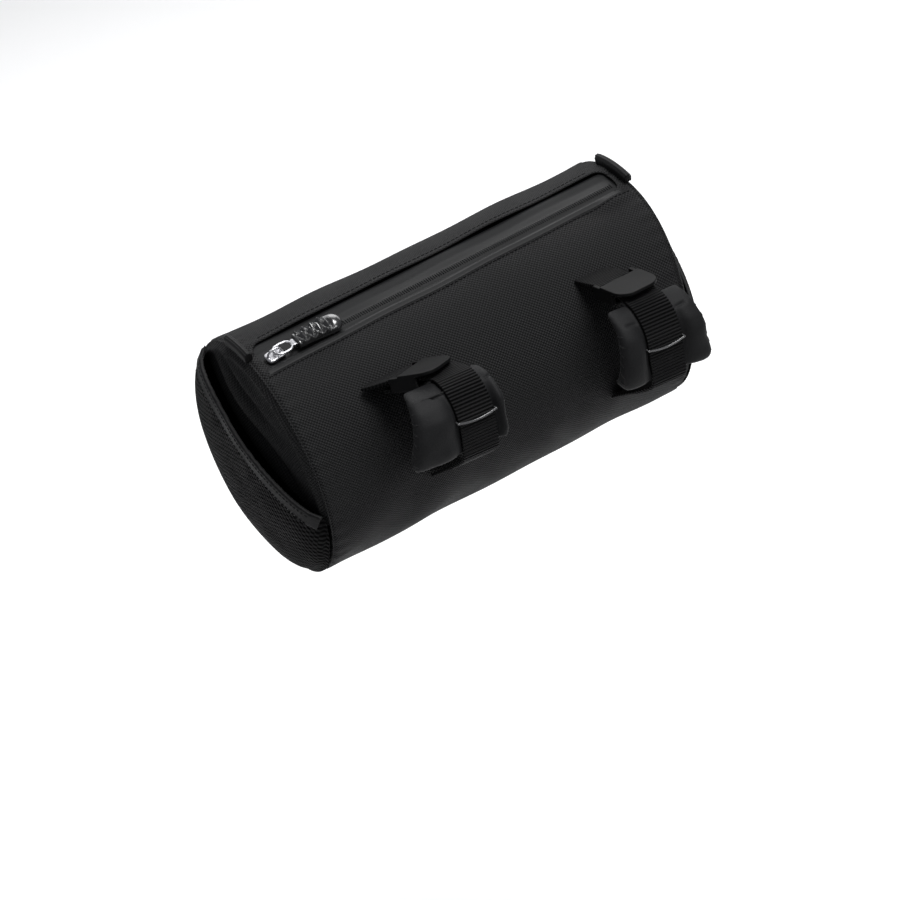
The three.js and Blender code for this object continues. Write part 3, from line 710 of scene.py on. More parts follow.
WINDOW_FOLDS = (
    WindowFold(2.0, 99.0, 9.0, 11.0, 3.5),
    WindowFold(-1.0, 88.0, 8.0, 14.0, 5.0),
)


@dataclass(frozen=True)
class Hem:
    """A rolled hem along one side of the window: side, distance outside it, width, height and lift."""

    front: bool
    grow: float
    width: float
    height: float
    lift: float


HEMS = (
    Hem(True, 1.0, 2.2, 1.3, -0.1),
    Hem(False, 0.4, 1.0, 0.7, -0.35),
)


@dataclass(frozen=True)
class Wave:
    """A sine wave over cloth: radians for a millimetre along and for a degree round, and its start."""

    along: float
    turn: float
    start: float = 0.0

    def at(self, x: Array, angle: Array) -> Array:
        """Returns the wave's height, from -1 to 1."""
        return np.sin(x * self.along + angle * self.turn + self.start)


# Puckers round both ends, where they are sewn to the barrel
PUCKERS = Wave(0.0, 0.9)


def zip_line(x: Array) -> Array:
    """Returns the angle of the zip's centre line."""
    return ZIP_ANGLE - ZIP_TWIST * x / (2 * HALF_LENGTH)


def on_zip(x: Array, offset: Array, radius: Array) -> Array:
    """Returns points at a distance behind the zip's centre line."""
    return polar(x, radius, zip_line(np.asarray(x)) + np.degrees(np.asarray(offset) / RADIUS))


def dent_depth(x: Array, angle: Array) -> Array:
    """Returns the depth of the soft dents at a place on the barrel."""
    return sum(dent.at(x, angle) for dent in DENTS)


def window_distance(x: Array, offset: Array) -> tuple[Array, Array]:
    """Returns the distance outside the zip window's rounded outline and the way out of it."""
    middle = (WINDOW_REAR - WINDOW_FRONT) / 2
    half = (WINDOW_REAR + WINDOW_FRONT) / 2
    away = np.stack([x, offset - middle], -1)
    past = np.abs(away) - np.array([WINDOW_END, half]) + WINDOW_CORNER
    outside = np.maximum(past, 0)
    inner = np.minimum(past.max(-1), 0)
    distance = np.linalg.norm(outside, axis=-1) + inner - WINDOW_CORNER
    corner = np.where((past > 0).all(-1)[..., None], outside, 0)
    edge = np.where(past[..., :1] > past[..., 1:], [1.0, 0.0], [0.0, 1.0])
    way = np.where((past > 0).all(-1)[..., None], unit(corner), edge) * np.sign(away)
    return distance, way


@dataclass
class Barrel:
    """The fabric barrel with its zip window, lips, seams and stitches.

    Lengths and heights are in millimetres, and angles in degrees. The gathers slant across the left rear
    of the barrel, between two angles.
    """

    rows: int = 170
    turns: int = 330
    snap: float = 4.0
    ripple: float = 0.55
    long_ripple: Wave = Wave(0.09, 0.05)
    cross_ripple: Wave = Wave(0.021, 0.035, 1.0)
    pucker: float = 0.22
    pucker_start: float = 12.0
    pucker_full: float = 3.0
    tuck: float = 1.1
    tuck_width: float = 2.0
    flap: float = 0.9
    flap_place: float = 1.5
    flap_width: float = 3.0
    gather_height: float = 0.8
    gather_pitch: float = 46.0
    gather_start: float = 0.8
    gather_along: float = 0.75
    gather_round: float = 0.66
    gather_ends: tuple[float, float] = (20.0, 70.0)
    gather_from: float = 165.0
    gather_middle: float = 190.0
    gather_fade: tuple[float, float] = (212.0, 236.0)
    row_place: float = 4.5
    row_dip: float = 0.35
    row_width: float = 0.9
    row_margin: float = 4.0
    row_pitch: float = 2.6
    rear_thread: float = 0.55
    front_thread: float = 0.4
    front_place: float = 4.0
    thread_lift: float = 0.1
    border_grid: tuple[int, int] = (140, 14)
    border_margin: float = 1.5
    border_lap: float = 0.4
    border_width: float = 3.9
    border_rise: float = 0.45
    border_sink: float = 0.15
    border_front: float = 1.0
    border_back: float = 0.7
    border_fade: tuple[float, float] = (2.0, 9.0)
    tape_grid: tuple[int, int] = (150, 60)
    tape_margin: float = 0.6
    tape_lap: float = 3.5
    ridge: float = 0.45
    ridge_width: float = 1.9
    tape_wave: float = 0.25
    tape_ripple: Wave = Wave(0.11, 0.0, 0.6)
    tape_reach: tuple[float, float] = (-1.0, 4.0)
    wave_place: float = -8.0
    wave_width: float = 5.0
    tape_rise: float = 1.3
    rise_start: float = 7.0
    rise_full: float = 0.5
    rise_edge: float = 0.3
    woven: float = 0.25
    woven_place: float = 4.6
    woven_width: float = 0.6
    tape_sink: float = 0.1
    coil_margins: tuple[float, float] = (2.0, 3.0)
    coil_lift: float = 0.35
    coil_pitch: float = 1.3
    coil_thread: float = 0.5

    def surface(self, x: Array, angle: Array) -> Array:
        """Returns points of the barrel's outer face in its own frame."""
        offset = np.radians(angle - zip_line(x)) * RADIUS
        end = np.abs(x)
        depth = dent_depth(x, angle)
        ripple = self.ripple * self.long_ripple.at(x, angle) * self.cross_ripple.at(x, angle)
        near = smooth(end, HALF_LENGTH - self.pucker_start, HALF_LENGTH - self.pucker_full)
        pucker = self.pucker * PUCKERS.at(x, angle) * near
        tuck = self.tuck * smooth(end, HALF_LENGTH - self.tuck_width, HALF_LENGTH) ** 2
        flap = self.flap * bell(offset, -WINDOW_FRONT - self.flap_place, self.flap_width)
        row = self.row_dip * bell(offset, WINDOW_REAR + self.row_place, self.row_width)
        crease = sum(fold.at(x, offset) for fold in WINDOW_FOLDS)
        gather = self.gather(x, angle)
        return polar(x, RADIUS - depth - ripple - pucker - tuck + flap - row + crease - gather, angle)

    def gather(self, x: Array, angle: Array) -> Array:
        """Returns the depth of the slanting folds that the cloth gathers in towards the left end."""
        turn = np.radians(angle - self.gather_middle)
        across = x * self.gather_along + turn * RADIUS * self.gather_round
        near = smooth(-x, *self.gather_ends) * smooth(angle, self.gather_from, self.gather_middle)
        near = near * fading(angle, *self.gather_fade)
        return self.gather_height * np.sin(across * TAU / self.gather_pitch + self.gather_start) * near

    def shell(self) -> Skin:
        """Returns the barrel with its window cut out and the cut's edge drawn smooth."""
        line = np.linspace(-HALF_LENGTH, HALF_LENGTH, self.rows)
        turn = np.linspace(0, FULL_TURN, self.turns, endpoint=False) + ZIP_ANGLE - FULL_TURN / 2
        x, angle = np.meshgrid(line, turn, indexing="ij")
        offset = np.radians(angle - zip_line(x)) * RADIUS
        distance, way = window_distance(x, offset)
        inside = ((distance < 0) & (distance > -self.snap))[..., None]
        place = np.stack([x, offset], -1)
        place = np.where(inside, place - distance[..., None] * way, place)
        x = place[..., 0]
        angle = zip_line(x) + np.degrees(place[..., 1] / RADIUS)
        flat_distance = distance.ravel()

        def keep(corners: Array) -> Array:
            """Tells which faces lie outside the window."""
            return flat_distance[corners].mean(1) > 0

        cloth = np.stack([x, np.radians(angle) * RADIUS], -1)
        return grid(in_bag(self.surface(x, angle)), cloth, wrap=True, keep=keep)

    def outline(self, grow: float, front: bool) -> Array:
        """Returns a line round the window.

        Args:
            grow: How far outside the window's edge it runs.
            front: True for the front run, False for the rear one.

        Returns:
            The line, as lengths along and behind the zip.
        """
        corner = WINDOW_CORNER + grow
        ends = WINDOW_END - WINDOW_CORNER
        edge = -WINDOW_FRONT + WINDOW_CORNER if front else WINDOW_REAR - WINDOW_CORNER
        way = -1 if front else 1
        turn = np.linspace(0, math.pi / 2, CORNER_POINTS)
        left = np.stack([-ends - corner * np.cos(turn), edge + way * corner * np.sin(turn)], -1)
        straight = np.linspace(-ends, ends, STRAIGHT_POINTS)[1:-1]
        middle = np.stack([straight, np.full_like(straight, edge + way * corner)], -1)
        right = (left * [-1, 1])[::-1]
        return np.concatenate([left, middle, right])

    def on_surface(self, line: Array) -> Array:
        """Returns points of the barrel's face on a line of lengths along and behind the zip."""
        return self.surface(line[:, 0], zip_line(line[:, 0]) + np.degrees(line[:, 1] / RADIUS))

    def bead(self, hem: Hem) -> Skin:
        """Returns a rolled hem along one side of the window."""
        path = self.on_surface(self.outline(hem.grow, hem.front))
        out = outwards(path)
        path = in_bag(path + out * hem.lift)
        return rod(path, bag_way(out), circle(hem.width, hem.height, HEM_SIDES))

    def row(self, line: Array, size: float) -> Skin:
        """Returns stitches of one thickness along a line of lengths along and behind the zip."""
        path = self.on_surface(line)
        out = bag_way(outwards(path))
        return stitches(in_bag(path) + out * self.thread_lift, out, self.row_pitch, size=size)

    def build(self) -> None:
        """Makes the barrel's pieces."""
        ride(self.shell().piece("barrel_cloth", Finish.FABRIC), "fabric", "bag", "body_panel")
        hems = [self.bead(hem) for hem in HEMS]
        ride(merged(hems).piece("zip_hems", Finish.FABRIC), "fabric")
        line = np.linspace(-HALF_LENGTH + self.row_margin, HALF_LENGTH - self.row_margin, ROW_POINTS)
        rear = np.stack([line, np.full_like(line, WINDOW_REAR + self.row_place)], -1)
        front = self.outline(self.front_place, True)[CORNER_POINTS:-CORNER_POINTS]
        rows = [self.row(rear, self.rear_thread), self.row(front, self.front_thread)]
        ride(merged(rows).piece("zip_stitches", Finish.THREAD), "fabric")
        self.border()
        self.tape()
        self.coil()

    def border(self) -> None:
        """Makes the smooth strip of tape that is sewn over the fabric behind the window."""
        end = HALF_LENGTH - self.border_margin
        first = WINDOW_REAR - self.border_lap
        last = WINDOW_REAR + self.border_width
        rows, columns = self.border_grid
        x, offset = np.meshgrid(np.linspace(-end, end, rows), np.linspace(first, last, columns),
                                indexing="ij")
        points = self.surface(x, zip_line(x) + np.degrees(offset / RADIUS))
        out = outwards(points)
        edge = smooth(offset, first, WINDOW_REAR + self.border_front)
        edge = edge * smooth(last - offset, 0, self.border_back)
        edge = edge * smooth(HALF_LENGTH - np.abs(x), *self.border_fade)
        points = points + out * (self.border_rise * edge - self.border_sink)[..., None]
        piece = grid(in_bag(points), np.stack([x, offset], -1)).piece("zip_border", Finish.TAPE)
        ride(piece, "tape")

    def tape(self) -> None:
        """Makes the zip's tape, which rises to meet the front of the window."""
        end = HALF_LENGTH - self.tape_margin
        first = -WINDOW_FRONT - self.tape_lap
        last = WINDOW_REAR + self.tape_lap
        rows, columns = self.tape_grid
        x, offset = np.meshgrid(np.linspace(-end, end, rows), np.linspace(first, last, columns),
                                indexing="ij")
        angle = zip_line(x) + np.degrees(offset / RADIUS)
        reach = smooth(WINDOW_END - np.abs(x), *self.tape_reach)
        ridge = self.ridge * bell(offset, 0, self.ridge_width) * reach
        wave = self.tape_wave * self.tape_ripple.at(x, angle)
        wave = wave * bell(offset, self.wave_place, self.wave_width) * reach
        rise = self.tape_rise * smooth(-offset, WINDOW_FRONT - self.rise_start, WINDOW_FRONT - self.rise_full)
        wave = wave + rise * smooth(offset, -WINDOW_FRONT - self.rise_full, -WINDOW_FRONT + self.rise_edge)
        woven = self.woven * smooth(-np.abs(offset - self.woven_place), -self.woven_width, 0) * reach
        radius = TAPE_RADIUS - dent_depth(x, angle) + ridge + wave + woven - self.tape_sink
        cloth = np.stack([x, offset], -1)
        piece = grid(in_bag(polar(x, radius, angle)), cloth).piece("zip_cloth", Finish.TAPE)
        ride(piece, "tape", "bag", "zip_tape")

    def coil(self) -> None:
        """Makes the zip's closed coil."""
        left, right = self.coil_margins
        line = np.linspace(-WINDOW_END + left, WINDOW_END - right, COIL_POINTS)
        path = on_zip(line, 0, TAPE_RADIUS + self.coil_lift - dent_depth(line, zip_line(line)))
        out = bag_way(outwards(path))
        coils = stitches(in_bag(path), out, self.coil_pitch, across=True, size=self.coil_thread)
        ride(coils.piece("zip_coil", Finish.TAPE), "tape")


@dataclass(frozen=True)
class Fold:
    """A fold of an end panel that lies along the pocket's mouth.

    It has a distance towards the mouth's open side, a slope along the mouth, a height, a width, and the
    middle and reach of its run along the mouth.
    """

    opened: float
    slope: float
    height: float
    width: float
    middle: float
    reach: float

    def at(self, run: Array, opened: Array) -> Array:
        """Returns the fold's height at lengths along the mouth and towards its open side."""
        across = bell(opened - self.slope * run, self.opened, self.width)
        return self.height * across * bell(run, self.middle, self.reach)


FOLDS = (
    Fold(30.0, 0.00, -2.4, 4.0, -8.0, 46.0),
    Fold(39.0, 0.10, 2.6, 4.2, -18.0, 34.0),
    Fold(45.5, 0.12, -2.2, 2.6, -20.0, 28.0),
    Fold(51.0, 0.12, 1.8, 3.0, -22.0, 26.0),
    Fold(36.0, -0.30, -1.6, 3.0, 30.0, 18.0),
)

# How full the pocket is near its rim at angles round it, and in its middle
FULLNESS = (
    (-175, 0.62),
    (-130, 0.66),
    (-90, 0.80),
    (-45, 1.0),
    (0, 1.0),
    (40, 0.88),
    (75, 0.62),
    (118, 0.84),
    (185, 0.62),
)
POCKET_MIDDLE = 0.86


@dataclass
class BagEnd:
    """One round end with its fabric panel, mesh pocket and binding, its sizes in millimetres."""

    name: str
    sign: int
    hem: float = 0.9
    hem_place: float = 1.5
    hem_width: float = 1.6
    fold_shift: float = 1.6
    rim_gap: float = 0.4
    rim_drop: float = 1.2
    panel_rings: int = 80
    pocket_rings: int = 85
    turns: int = 250
    mouth_snap: float = 3.0
    row_margin: float = 8.0
    row_place: float = 1.2
    row_lift: float = 0.75
    row_pitch: float = 2.4
    row_thread: float = 0.4
    cord_height: float = 0.28
    cord_pitch: float = 1.3
    seam_width: float = 1.5
    seam_height: float = 1.3
    seam_pucker: float = 0.15
    seam_sink: float = 1.0
    seam_past: float = 0.2

    def panel_height(self, radius: Array, angle: Array) -> Array:
        """Returns the height of the panel's face over its rim."""
        share = np.clip(radius / END_RADIUS, 0, 1)
        run, opened = self.mouth(radius, angle)
        folds = sum(fold.at(run, opened) for fold in FOLDS)
        hem = self.hem * bell(radius, END_RADIUS - self.hem_place, self.hem_width)
        return END_DOME * (1 - share ** 2) + folds * np.sqrt(np.sin(math.pi * share ** self.fold_shift)) + hem

    def pocket_height(self, radius: Array, angle: Array) -> Array:
        """Returns the height of the pocket's face over its rim."""
        share = np.clip(radius / END_RADIUS, 0, 1)
        turned = (angle - DISC_START) % FULL_TURN + DISC_START
        full = np.full_like(turned, FULLNESS[0][1])
        for (low, before), (high, after) in zip(FULLNESS, FULLNESS[1:]):
            full = full + (after - before) * smooth(turned, low, high)
        full = POCKET_MIDDLE + (full - POCKET_MIDDLE) * share ** 2
        return POCKET_DOME * full * np.sqrt(np.maximum(1 - share ** 3, 0))

    def disc(self, height: Callable[[Array, Array], Array], base: float, rings: int) -> tuple:
        """Makes a round grid over the end.

        Args:
            height: Gives the face's height over its rim, from radius and angle.
            base: How far out the rim stands.
            rings: How many rings of points there are.

        Returns:
            The points in the barrel's own frame, with their radius and angle.
        """
        share = np.sin(np.linspace(DISC_MIDDLE, math.pi / 2, rings))
        turn = np.linspace(DISC_START, DISC_START + FULL_TURN, self.turns, endpoint=False)
        radius, angle = np.meshgrid(share * (RADIUS - self.rim_gap), turn, indexing="ij")
        rim = smooth(radius, END_RADIUS - 1, RADIUS) * self.rim_drop
        x = self.sign * (base + height(radius, angle) - rim)
        return polar(x, radius, angle), radius, angle

    def mouth(self, radius: Array, angle: Array) -> tuple[Array, Array]:
        """Returns lengths along the pocket's mouth and towards its open side."""
        turn = np.radians(angle - MOUTH_MIDDLE)
        return radius * np.sin(turn), radius * np.cos(turn)

    def panel(self) -> None:
        """Makes the fabric panel; its faces under the pocket get a darker copy of the fabric as painted
        shade.
        """
        points, radius, angle = self.disc(self.panel_height, END_BASE + WALL, self.panel_rings)
        turn = np.radians(angle)
        cloth = np.stack([radius * np.cos(turn), radius * np.sin(turn)], -1)
        piece = grid(in_bag(points), cloth, wrap=True).piece(f"end_cloth_{self.name}", Finish.FABRIC)
        # Faces under the pocket take the darker painted-shade cloth, standing in for the shade that the
        # pocket casts
        piece.data.materials.append(palette.get(Finish.PAINTED_SHADE_CLOTH))
        opened = self.mouth(radius, angle)[1].ravel()
        for face in piece.data.polygons:
            in_painted_shade = opened[list(face.vertices)].max() < MOUTH_DISTANCE - BINDING_WIDTH / 2
            face.material_index = int(in_painted_shade)
        ride(piece, "fabric", "bag", f"end_panel_{self.name}")

    def pocket(self) -> None:
        """Makes the mesh pocket, its open side cut along the mouth."""
        points, radius, angle = self.disc(self.pocket_height, POCKET_BASE + POCKET_WALL, self.pocket_rings)
        run, opened = self.mouth(radius, angle)
        past = np.maximum(opened - MOUTH_DISTANCE, 0)
        turn = math.radians(MOUTH_MIDDLE)
        back = np.array([0, math.cos(turn), math.sin(turn)])
        flat = past.ravel()
        points = points - past[..., None] * np.where(past < self.mouth_snap, 1, 0)[..., None] * back
        cloth = np.stack([run, opened], -1)

        def keep(corners: Array) -> Array:
            """Tells which faces reach no further than the mouth."""
            return flat[corners].min(1) <= 0

        net = grid(in_bag(points), cloth, wrap=True, keep=keep)
        piece = net.piece(f"pocket_net_{self.name}", Finish.MESH)
        ride(piece, "mesh", "bag", f"mesh_pocket_{self.name}")

    def binding(self) -> None:
        """Makes the elastic binding with its row of stitches along each edge."""

        def cloth(points: Array) -> Array:
            """Returns the places of points across and along the binding."""
            own = own_frame(points)
            run, opened = self.mouth(np.hypot(own[:, 1], own[:, 2]),
                                     np.degrees(np.arctan2(own[:, 2], own[:, 1])))
            return np.stack([opened, run, 0 * run], -1)

        name = f"pocket_binding_{self.name}"
        rounded(name, Finish.ELASTIC, voxel=0.6, passes=4, cloth=cloth)
        run = np.linspace(-MOUTH_HALF + self.row_margin, MOUTH_HALF - self.row_margin, BINDING_POINTS)
        for place in (self.row_place, BINDING_WIDTH - self.row_place):
            opened = np.full_like(run, MOUTH_DISTANCE - place)
            radius = np.hypot(run, opened)
            angle = np.degrees(np.arctan2(run, opened)) + MOUTH_MIDDLE
            face = POCKET_BASE + POCKET_WALL + self.pocket_height(radius, angle) + 2 * GAP + self.row_lift
            path = in_bag(polar(self.sign * face, radius, angle))
            out = bag_way(np.array([[self.sign, 0, 0]]))
            row = stitches(path, out, self.row_pitch, size=self.row_thread)
            ride(row.piece(f"binding_stitches_{self.name}_{place:.0f}", Finish.THREAD), "elastic")

    def build(self) -> None:
        """Makes the end's pieces."""
        self.panel()
        self.pocket()
        self.binding()
        self.seam()
        rounded(f"end_tab_{self.name}", Finish.ELASTIC, voxel=0.3, passes=2, shape=self.piped)

    def piped(self, points: Array, normals: Array) -> Array:
        """Returns the tab's points with fine cords raised along it."""
        cords = np.abs(np.sin(own_frame(points)[:, 0] * math.pi / self.cord_pitch))
        return points + normals * (self.cord_height * cords - self.cord_height / 2)[:, None]

    def seam(self) -> None:
        """Makes the thin rolled edge where the end is sewn to the barrel."""
        turn = np.linspace(0, FULL_TURN, SEAM_POINTS + 1)[:-1]
        x = np.full_like(turn, self.sign * (HALF_LENGTH + self.seam_past))
        pucker = self.seam_pucker * PUCKERS.at(x, turn)
        path = polar(x, RADIUS - self.seam_sink - pucker - dent_depth(x, turn), turn)
        out = bag_way(outwards(path))
        path = in_bag(path)
        path = np.concatenate([path, path[:1]])
        out = np.concatenate([out, out[:1]])
        rope = rod(path, out, circle(self.seam_width, self.seam_height, SEAM_SIDES))
        ride(rope.piece(f"seam_{self.name}", Finish.FABRIC), "fabric")


@dataclass
class StrapSet:
    """One strap with its pad, keeper, anchor and buckle, its sizes in millimetres."""

    name: str
    sign: int
    rib_height: float = 0.5
    rib_shape: float = 0.7
    rib_least: float = 0.3
    wander: float = 0.25
    wander_rate: float = 0.21
    wander_ends: tuple[float, float] = (-10.0, 20.0)
    swell: float = 0.45
    swell_down: float = 0.33
    swell_along: float = 0.21
    swell_start: float = 0.7
    crease: float = 1.4
    crease_slope: float = 0.12
    crease_run: float = 10.5
    crease_width: float = 0.9
    crease_ends: tuple[float, float] = (16.0, 19.0)
    groove_edge: tuple[float, float] = (10.5, 12.0)
    foam_face: tuple[float, float] = (16.0, 19.0)
    keeper_thin: float = 0.7
    keeper_bow: float = 1.5
    keeper_lift: float = 0.5
    thread_runs: tuple[float, float] = (6.0, 41.0)
    thread_pitch: float = 5.2
    thread_points: tuple[tuple[float, float], ...] = ((0.0, 15.2), (1.0, 17.0), (2.0, 18.8))
    thread_size: tuple[float, float] = (0.7, 0.5)
    thread_lift: float = 0.1
    pad_fill: float = 0.9

    @property
    def x(self) -> float:
        """Returns the place of the strap's middle along the handlebar."""
        return self.sign * STRAP_X

    @property
    def slide(self) -> float:
        """Returns how much further round the bar than the left strap this one sits."""
        return max(self.sign, 0) * RIGHT_SLIDE

    def run(self, points: Array) -> Array:
        """Returns the length along the strap from the top of the bar."""
        y = points[:, 1]
        z = points[:, 2]
        turn = np.arctan2(-y, np.maximum(z, 1e-6))
        arc = STRAP_MIDDLE * math.pi / 2
        return np.where(y > 0, -y, np.where(z > 0, turn * STRAP_MIDDLE, arc - z))

    def ribbed(self, points: Array, normals: Array) -> Array:
        """Returns the points of webbing with its ribs raised."""
        run = self.run(points)
        rib = np.abs(np.sin(run * math.pi / RIB_PITCH)) ** self.rib_shape
        flat = 1 - np.abs(normals[:, :1]) ** 2
        wander = self.wander * np.sin(run * self.wander_rate + self.x)
        full = self.rib_least + (1 - self.rib_least) * smooth(run, self.slide - 1, self.slide + 2)
        raised = (self.rib_height * rib - self.rib_height / 2) * full
        moved = points + normals * flat * raised[:, None]
        moved[:, 0] += wander * smooth(-points[:, 2], *self.wander_ends)
        return moved

    def cloth(self, points: Array) -> Array:
        """Returns the place of points on the webbing."""
        return np.stack([points[:, 0], self.run(points), 0 * points[:, 0]], -1)

    def padded(self, points: Array, normals: Array) -> Array:
        """Returns the pad's points with soft swells and a crease beside the strap."""
        down = np.sin(points[:, 2] * self.swell_down + self.x)
        swell = self.swell * down * np.sin(points[:, 0] * self.swell_along + self.swell_start)
        away = np.abs(points[:, 0] - self.x)
        run = self.run(points) - self.slide
        crease = self.crease * bell(run + self.crease_slope * away, self.crease_run, self.crease_width)
        crease = crease * fading(away, *self.crease_ends)
        side = smooth(away, *self.groove_edge)
        outer = smooth(np.hypot(points[:, 1], np.maximum(points[:, 2], 0)), *self.foam_face)
        return points + normals * ((swell - crease * side) * outer)[:, None]

    def bowed(self, points: Array, normals: Array) -> Array:
        """Returns the keeper's points thinned and bowed down between its sewn ends."""
        middle = points[:, 2].mean()
        share = (points[:, 0] - self.x) / STRAP_HALF
        bow = self.keeper_bow * (1 - np.minimum(share ** 2, 1))
        low = middle + (points[:, 2] - middle) * self.keeper_thin - bow + self.keeper_lift
        return np.stack([points[:, 0], points[:, 1], low], -1)

    def overlock(self, pad: bpy.types.Object) -> None:
        """Makes the slanted threads that close both sides of the pad."""
        tree = BVHTree.FromPolygons([point.co for point in pad.data.vertices],
                                    [face.vertices[:] for face in pad.data.polygons])
        threads = []
        for side in (-1, 1):
            for run in np.arange(*self.thread_runs, self.thread_pitch) + self.slide:
                ends = [self.touch(tree, side, run + shift, radius) for shift, radius in self.thread_points]
                if None in ends:
                    continue
                path = np.array([tuple(end) for end in ends])
                out = np.tile([float(side), 0.0, 0.0], (len(ends), 1))
                threads.append(rod(path, out, circle(*self.thread_size, THREAD_SIDES), self.thread_lift))
        ride(merged(threads).piece(f"pad_threads_{self.name}", Finish.TAPE), "foam")

    def touch(self, tree: BVHTree, side: int, run: float, radius: float) -> Vector | None:
        """Finds a place on one side of the pad.

        Args:
            tree: The pad's faces.
            side: 1 for the side to the rider's right, -1 for the other.
            run: Length along the strap from the top of the bar.
            radius: Distance from the bar's axis.

        Returns:
            The place in millimetres, or None where there is no foam.
        """
        arc = STRAP_MIDDLE * math.pi / 2
        turn = min(run / STRAP_MIDDLE, math.pi / 2)
        up = math.cos(turn) * radius - max(run - arc, 0)
        start = Vector((self.x + side * OUTSIDE_PAD, -math.sin(turn) * radius, up))
        found = tree.ray_cast(start * MM, Vector((-side, 0, 0)))[0]
        return None if found is None else found / MM

    def build(self) -> None:
        """Makes the strap's pieces."""
        pad = rounded(f"foam_pad_{self.name}", Finish.FOAM, voxel=0.9, passes=40, shape=self.padded)
        self.overlock(pad)
        rounded(f"keeper_{self.name}", Finish.GLOSS, voxel=0.22, passes=2, shape=self.bowed)
        webbing = {"voxel": 0.32, "shape": self.ribbed, "cloth": self.cloth}
        rounded(f"anchor_{self.name}", Finish.WEBBING, passes=2, **webbing)
        rounded(f"strap_{self.name}", Finish.WEBBING, passes=1, **webbing)
        rounded(f"buckle_{self.name}", Finish.PLASTIC, voxel=0.3, passes=3)


@dataclass
class ZipPull:
    """The slider with its link and moulded grip.

    Widths and heights are in millimetres. The grip's facets have a pitch along and across it, and the places
    along the grip are shares of its length.
    """

    facet_run: float = 4.6
    facet_side: float = 9.6
    facet_height: float = 2.3
    wide_neck: float = 4.4
    wide_end: float = 5.8
    tall: float = 2.3
    bulb: float = 1.5
    rings: int = 150
    turns: int = 96
    neck: float = 0.05
    widening: tuple[float, float] = (0.1, 0.85)
    ball: tuple[float, float] = (0.70, 0.80)
    round_from: float = 0.8
    round_length: float = 0.2
    facets_start: tuple[float, float] = (0.06, 0.10)
    facets_end: tuple[float, float] = (0.69, 0.73)
    facets_up: tuple[float, float] = (0.3, 0.9)
    square: float = 0.55
    square_gain: float = 0.45

    def facets(self, run: Array, side: Array) -> Array:
        """Returns the height of the four-sided facets, which touch all over, from 0 to 1."""
        u = run / self.facet_run
        v = side / self.facet_side
        first = np.abs(u % 1 - 0.5) + np.abs(v % 1 - 0.5)
        other = np.abs((u + 0.5) % 1 - 0.5) + np.abs((v + 0.5) % 1 - 0.5)
        return 1 - 2 * np.minimum(first, other)

    def grip(self) -> Skin:
        """Returns the grip, whose round end is a bulb."""
        share = (1 - np.cos(np.linspace(0, math.pi, self.rings))) / 2
        turn = np.linspace(0, TAU, self.turns, endpoint=False)
        run, turn = np.meshgrid(share, turn, indexing="ij")
        bow = np.sqrt(np.clip(1 - ((run - self.round_from) / self.round_length) ** 2, 0, 1))
        rounding = bow * (run > self.round_from) + (run <= self.round_from)
        neck = np.sqrt(np.clip(1 - (1 - run / self.neck) ** 2, 0, 1))
        start = neck * (run < self.neck) + (run >= self.neck)
        ball = smooth(run, *self.ball)
        wide = self.wide_neck + (self.wide_end - self.wide_neck) * smooth(run, *self.widening)
        wide = wide * rounding * start
        tall = (self.tall + self.bulb * ball) * rounding * start
        square = self.square + self.square_gain * ball
        across = np.sign(np.cos(turn)) * np.abs(np.cos(turn)) ** square
        up = np.sign(np.sin(turn)) * np.abs(np.sin(turn)) ** square
        side = across * wide
        mask = smooth(run, *self.facets_start) * fading(run, *self.facets_end) * smooth(up, *self.facets_up)
        rise = up * tall + self.facet_height * self.facets(run * GRIP_LENGTH, side) * mask
        points = np.stack([GRIP_START + run * GRIP_LENGTH, side, rise], -1) @ np.array(PULL_FRAME)
        cloth = np.stack([run * GRIP_LENGTH, side], -1)
        return grid(points + np.array(PULL_PLACE), cloth, wrap=True).capped(self.turns)

    def build(self) -> None:
        """Makes the slider and the swinging pull."""
        rounded("slider_body", Finish.NICKEL, voxel=0.16, passes=8)
        rounded("pull_link", Finish.NICKEL, voxel=0.16, passes=5, body="zip_pull")
        grip = self.grip().piece("pull_grip_look", Finish.RUBBER, shade=False)
        ride(grip, "rubber", "zip_pull", "pull_grip")


@dataclass(frozen=True)
class Lamp:
    """A square soft light, its places and size in metres and its power in watts."""

    name: str
    place: tuple[float, float, float]
    size: float
    power: float
    aim: tuple[float, float, float] = (0.0, 0.05, 0.0)


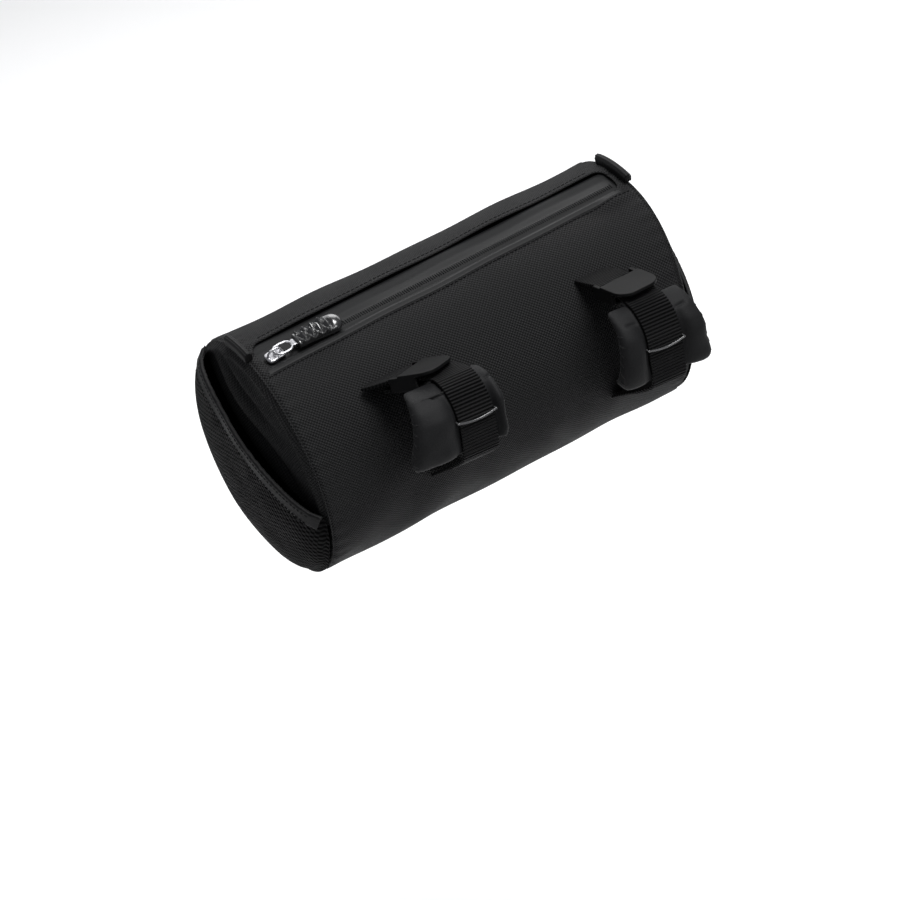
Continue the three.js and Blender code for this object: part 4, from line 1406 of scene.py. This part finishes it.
@dataclass
class Studio:
    """Floor, lights and camera, with places in metres."""

    camera_right: tuple[float, float, float] = (0.8417, -0.5260, -0.1217)
    camera_up: tuple[float, float, float] = (0.3647, 0.3877, 0.8466)
    camera_back: tuple[float, float, float] = (-0.3982, -0.7570, 0.5181)
    camera_place: tuple[float, float, float] = (-0.6199, -1.2036, 0.8176)
    focal_pixels: float = 3200.0
    picture_pixels: float = 900.0
    axis_pixel: tuple[float, float] = (577.0, 367.3)
    sensor_width: float = 36.0
    floor_reach: float = 6.0
    sky_color: tuple[float, float, float, float] = (0.9, 0.93, 1.0, 1.0)
    sky_strength: float = 0.16
    lamps: tuple[Lamp, ...] = (
        Lamp("key", (0.25, -0.3, 1.5), 0.8, 30.0),
        Lamp("front", (0.7, 1.2, 1.1), 1.0, 5.0),
        Lamp("floor_wash", (0.45, 1.1, 0.35), 1.6, 13.0, (0.45, 1.1, FLOOR_HEIGHT)),
        Lamp("rear", (0.3, -1.5, 0.8), 0.6, 5.0),
    )

    def floor(self) -> None:
        """Makes the plain floor."""
        reach = self.floor_reach
        corners = ((-reach, -reach), (reach, -reach), (reach, reach), (-reach, reach))
        points = np.array([(x, y, FLOOR_HEIGHT) for x, y in corners]) / MM
        piece = Skin(points, [(0, 1, 2, 3)], np.zeros((4, 3))).piece("floor", Finish.FLOOR, shade=False)

    def light(self, lamp: Lamp) -> None:
        """Makes a light that faces the bag, or another place."""
        data = bpy.data.lights.new(lamp.name, "AREA")
        data.size = lamp.size
        data.energy = lamp.power
        thing = bpy.data.objects.new(lamp.name, data)
        thing.location = lamp.place
        away = Vector(lamp.place) - Vector(lamp.aim)
        thing.rotation_euler = away.to_track_quat("Z", "Y").to_euler()
        bpy.context.scene.collection.objects.link(thing)

    def camera(self) -> None:
        """Sets the camera where the photograph was taken from."""
        data = bpy.data.cameras.new("camera")
        data.sensor_width = self.sensor_width
        data.lens = self.focal_pixels / self.picture_pixels * data.sensor_width
        half = self.picture_pixels / 2
        data.shift_x = (half - self.axis_pixel[0]) / self.picture_pixels
        data.shift_y = (self.axis_pixel[1] - half) / self.picture_pixels
        camera = bpy.data.objects.new("camera", data)
        turned = Matrix((self.camera_right, self.camera_up, self.camera_back)).transposed()
        camera.matrix_world = Matrix.Translation(Vector(self.camera_place)) @ turned.to_4x4()
        bpy.context.scene.collection.objects.link(camera)
        bpy.context.scene.camera = camera

    def build(self) -> None:
        """Makes the whole studio."""
        self.floor()
        for lamp in self.lamps:
            self.light(lamp)
        world = bpy.data.worlds.new("world")
        world.use_nodes = True
        background = world.node_tree.nodes["Background"]
        background.inputs["Color"].default_value = self.sky_color
        background.inputs["Strength"].default_value = self.sky_strength
        bpy.context.scene.world = world
        bpy.context.scene.view_settings.view_transform = "Standard"
        self.camera()


def main() -> None:
    """Builds the whole scene."""
    logging.basicConfig(level=logging.INFO)
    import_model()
    Barrel().build()
    for name, sign in (("left", -1), ("right", 1)):
        BagEnd(name, sign).build()
        StrapSet(name, sign).build()
    ZipPull().build()
    Studio().build()


if __name__ == "__main__":
    main()
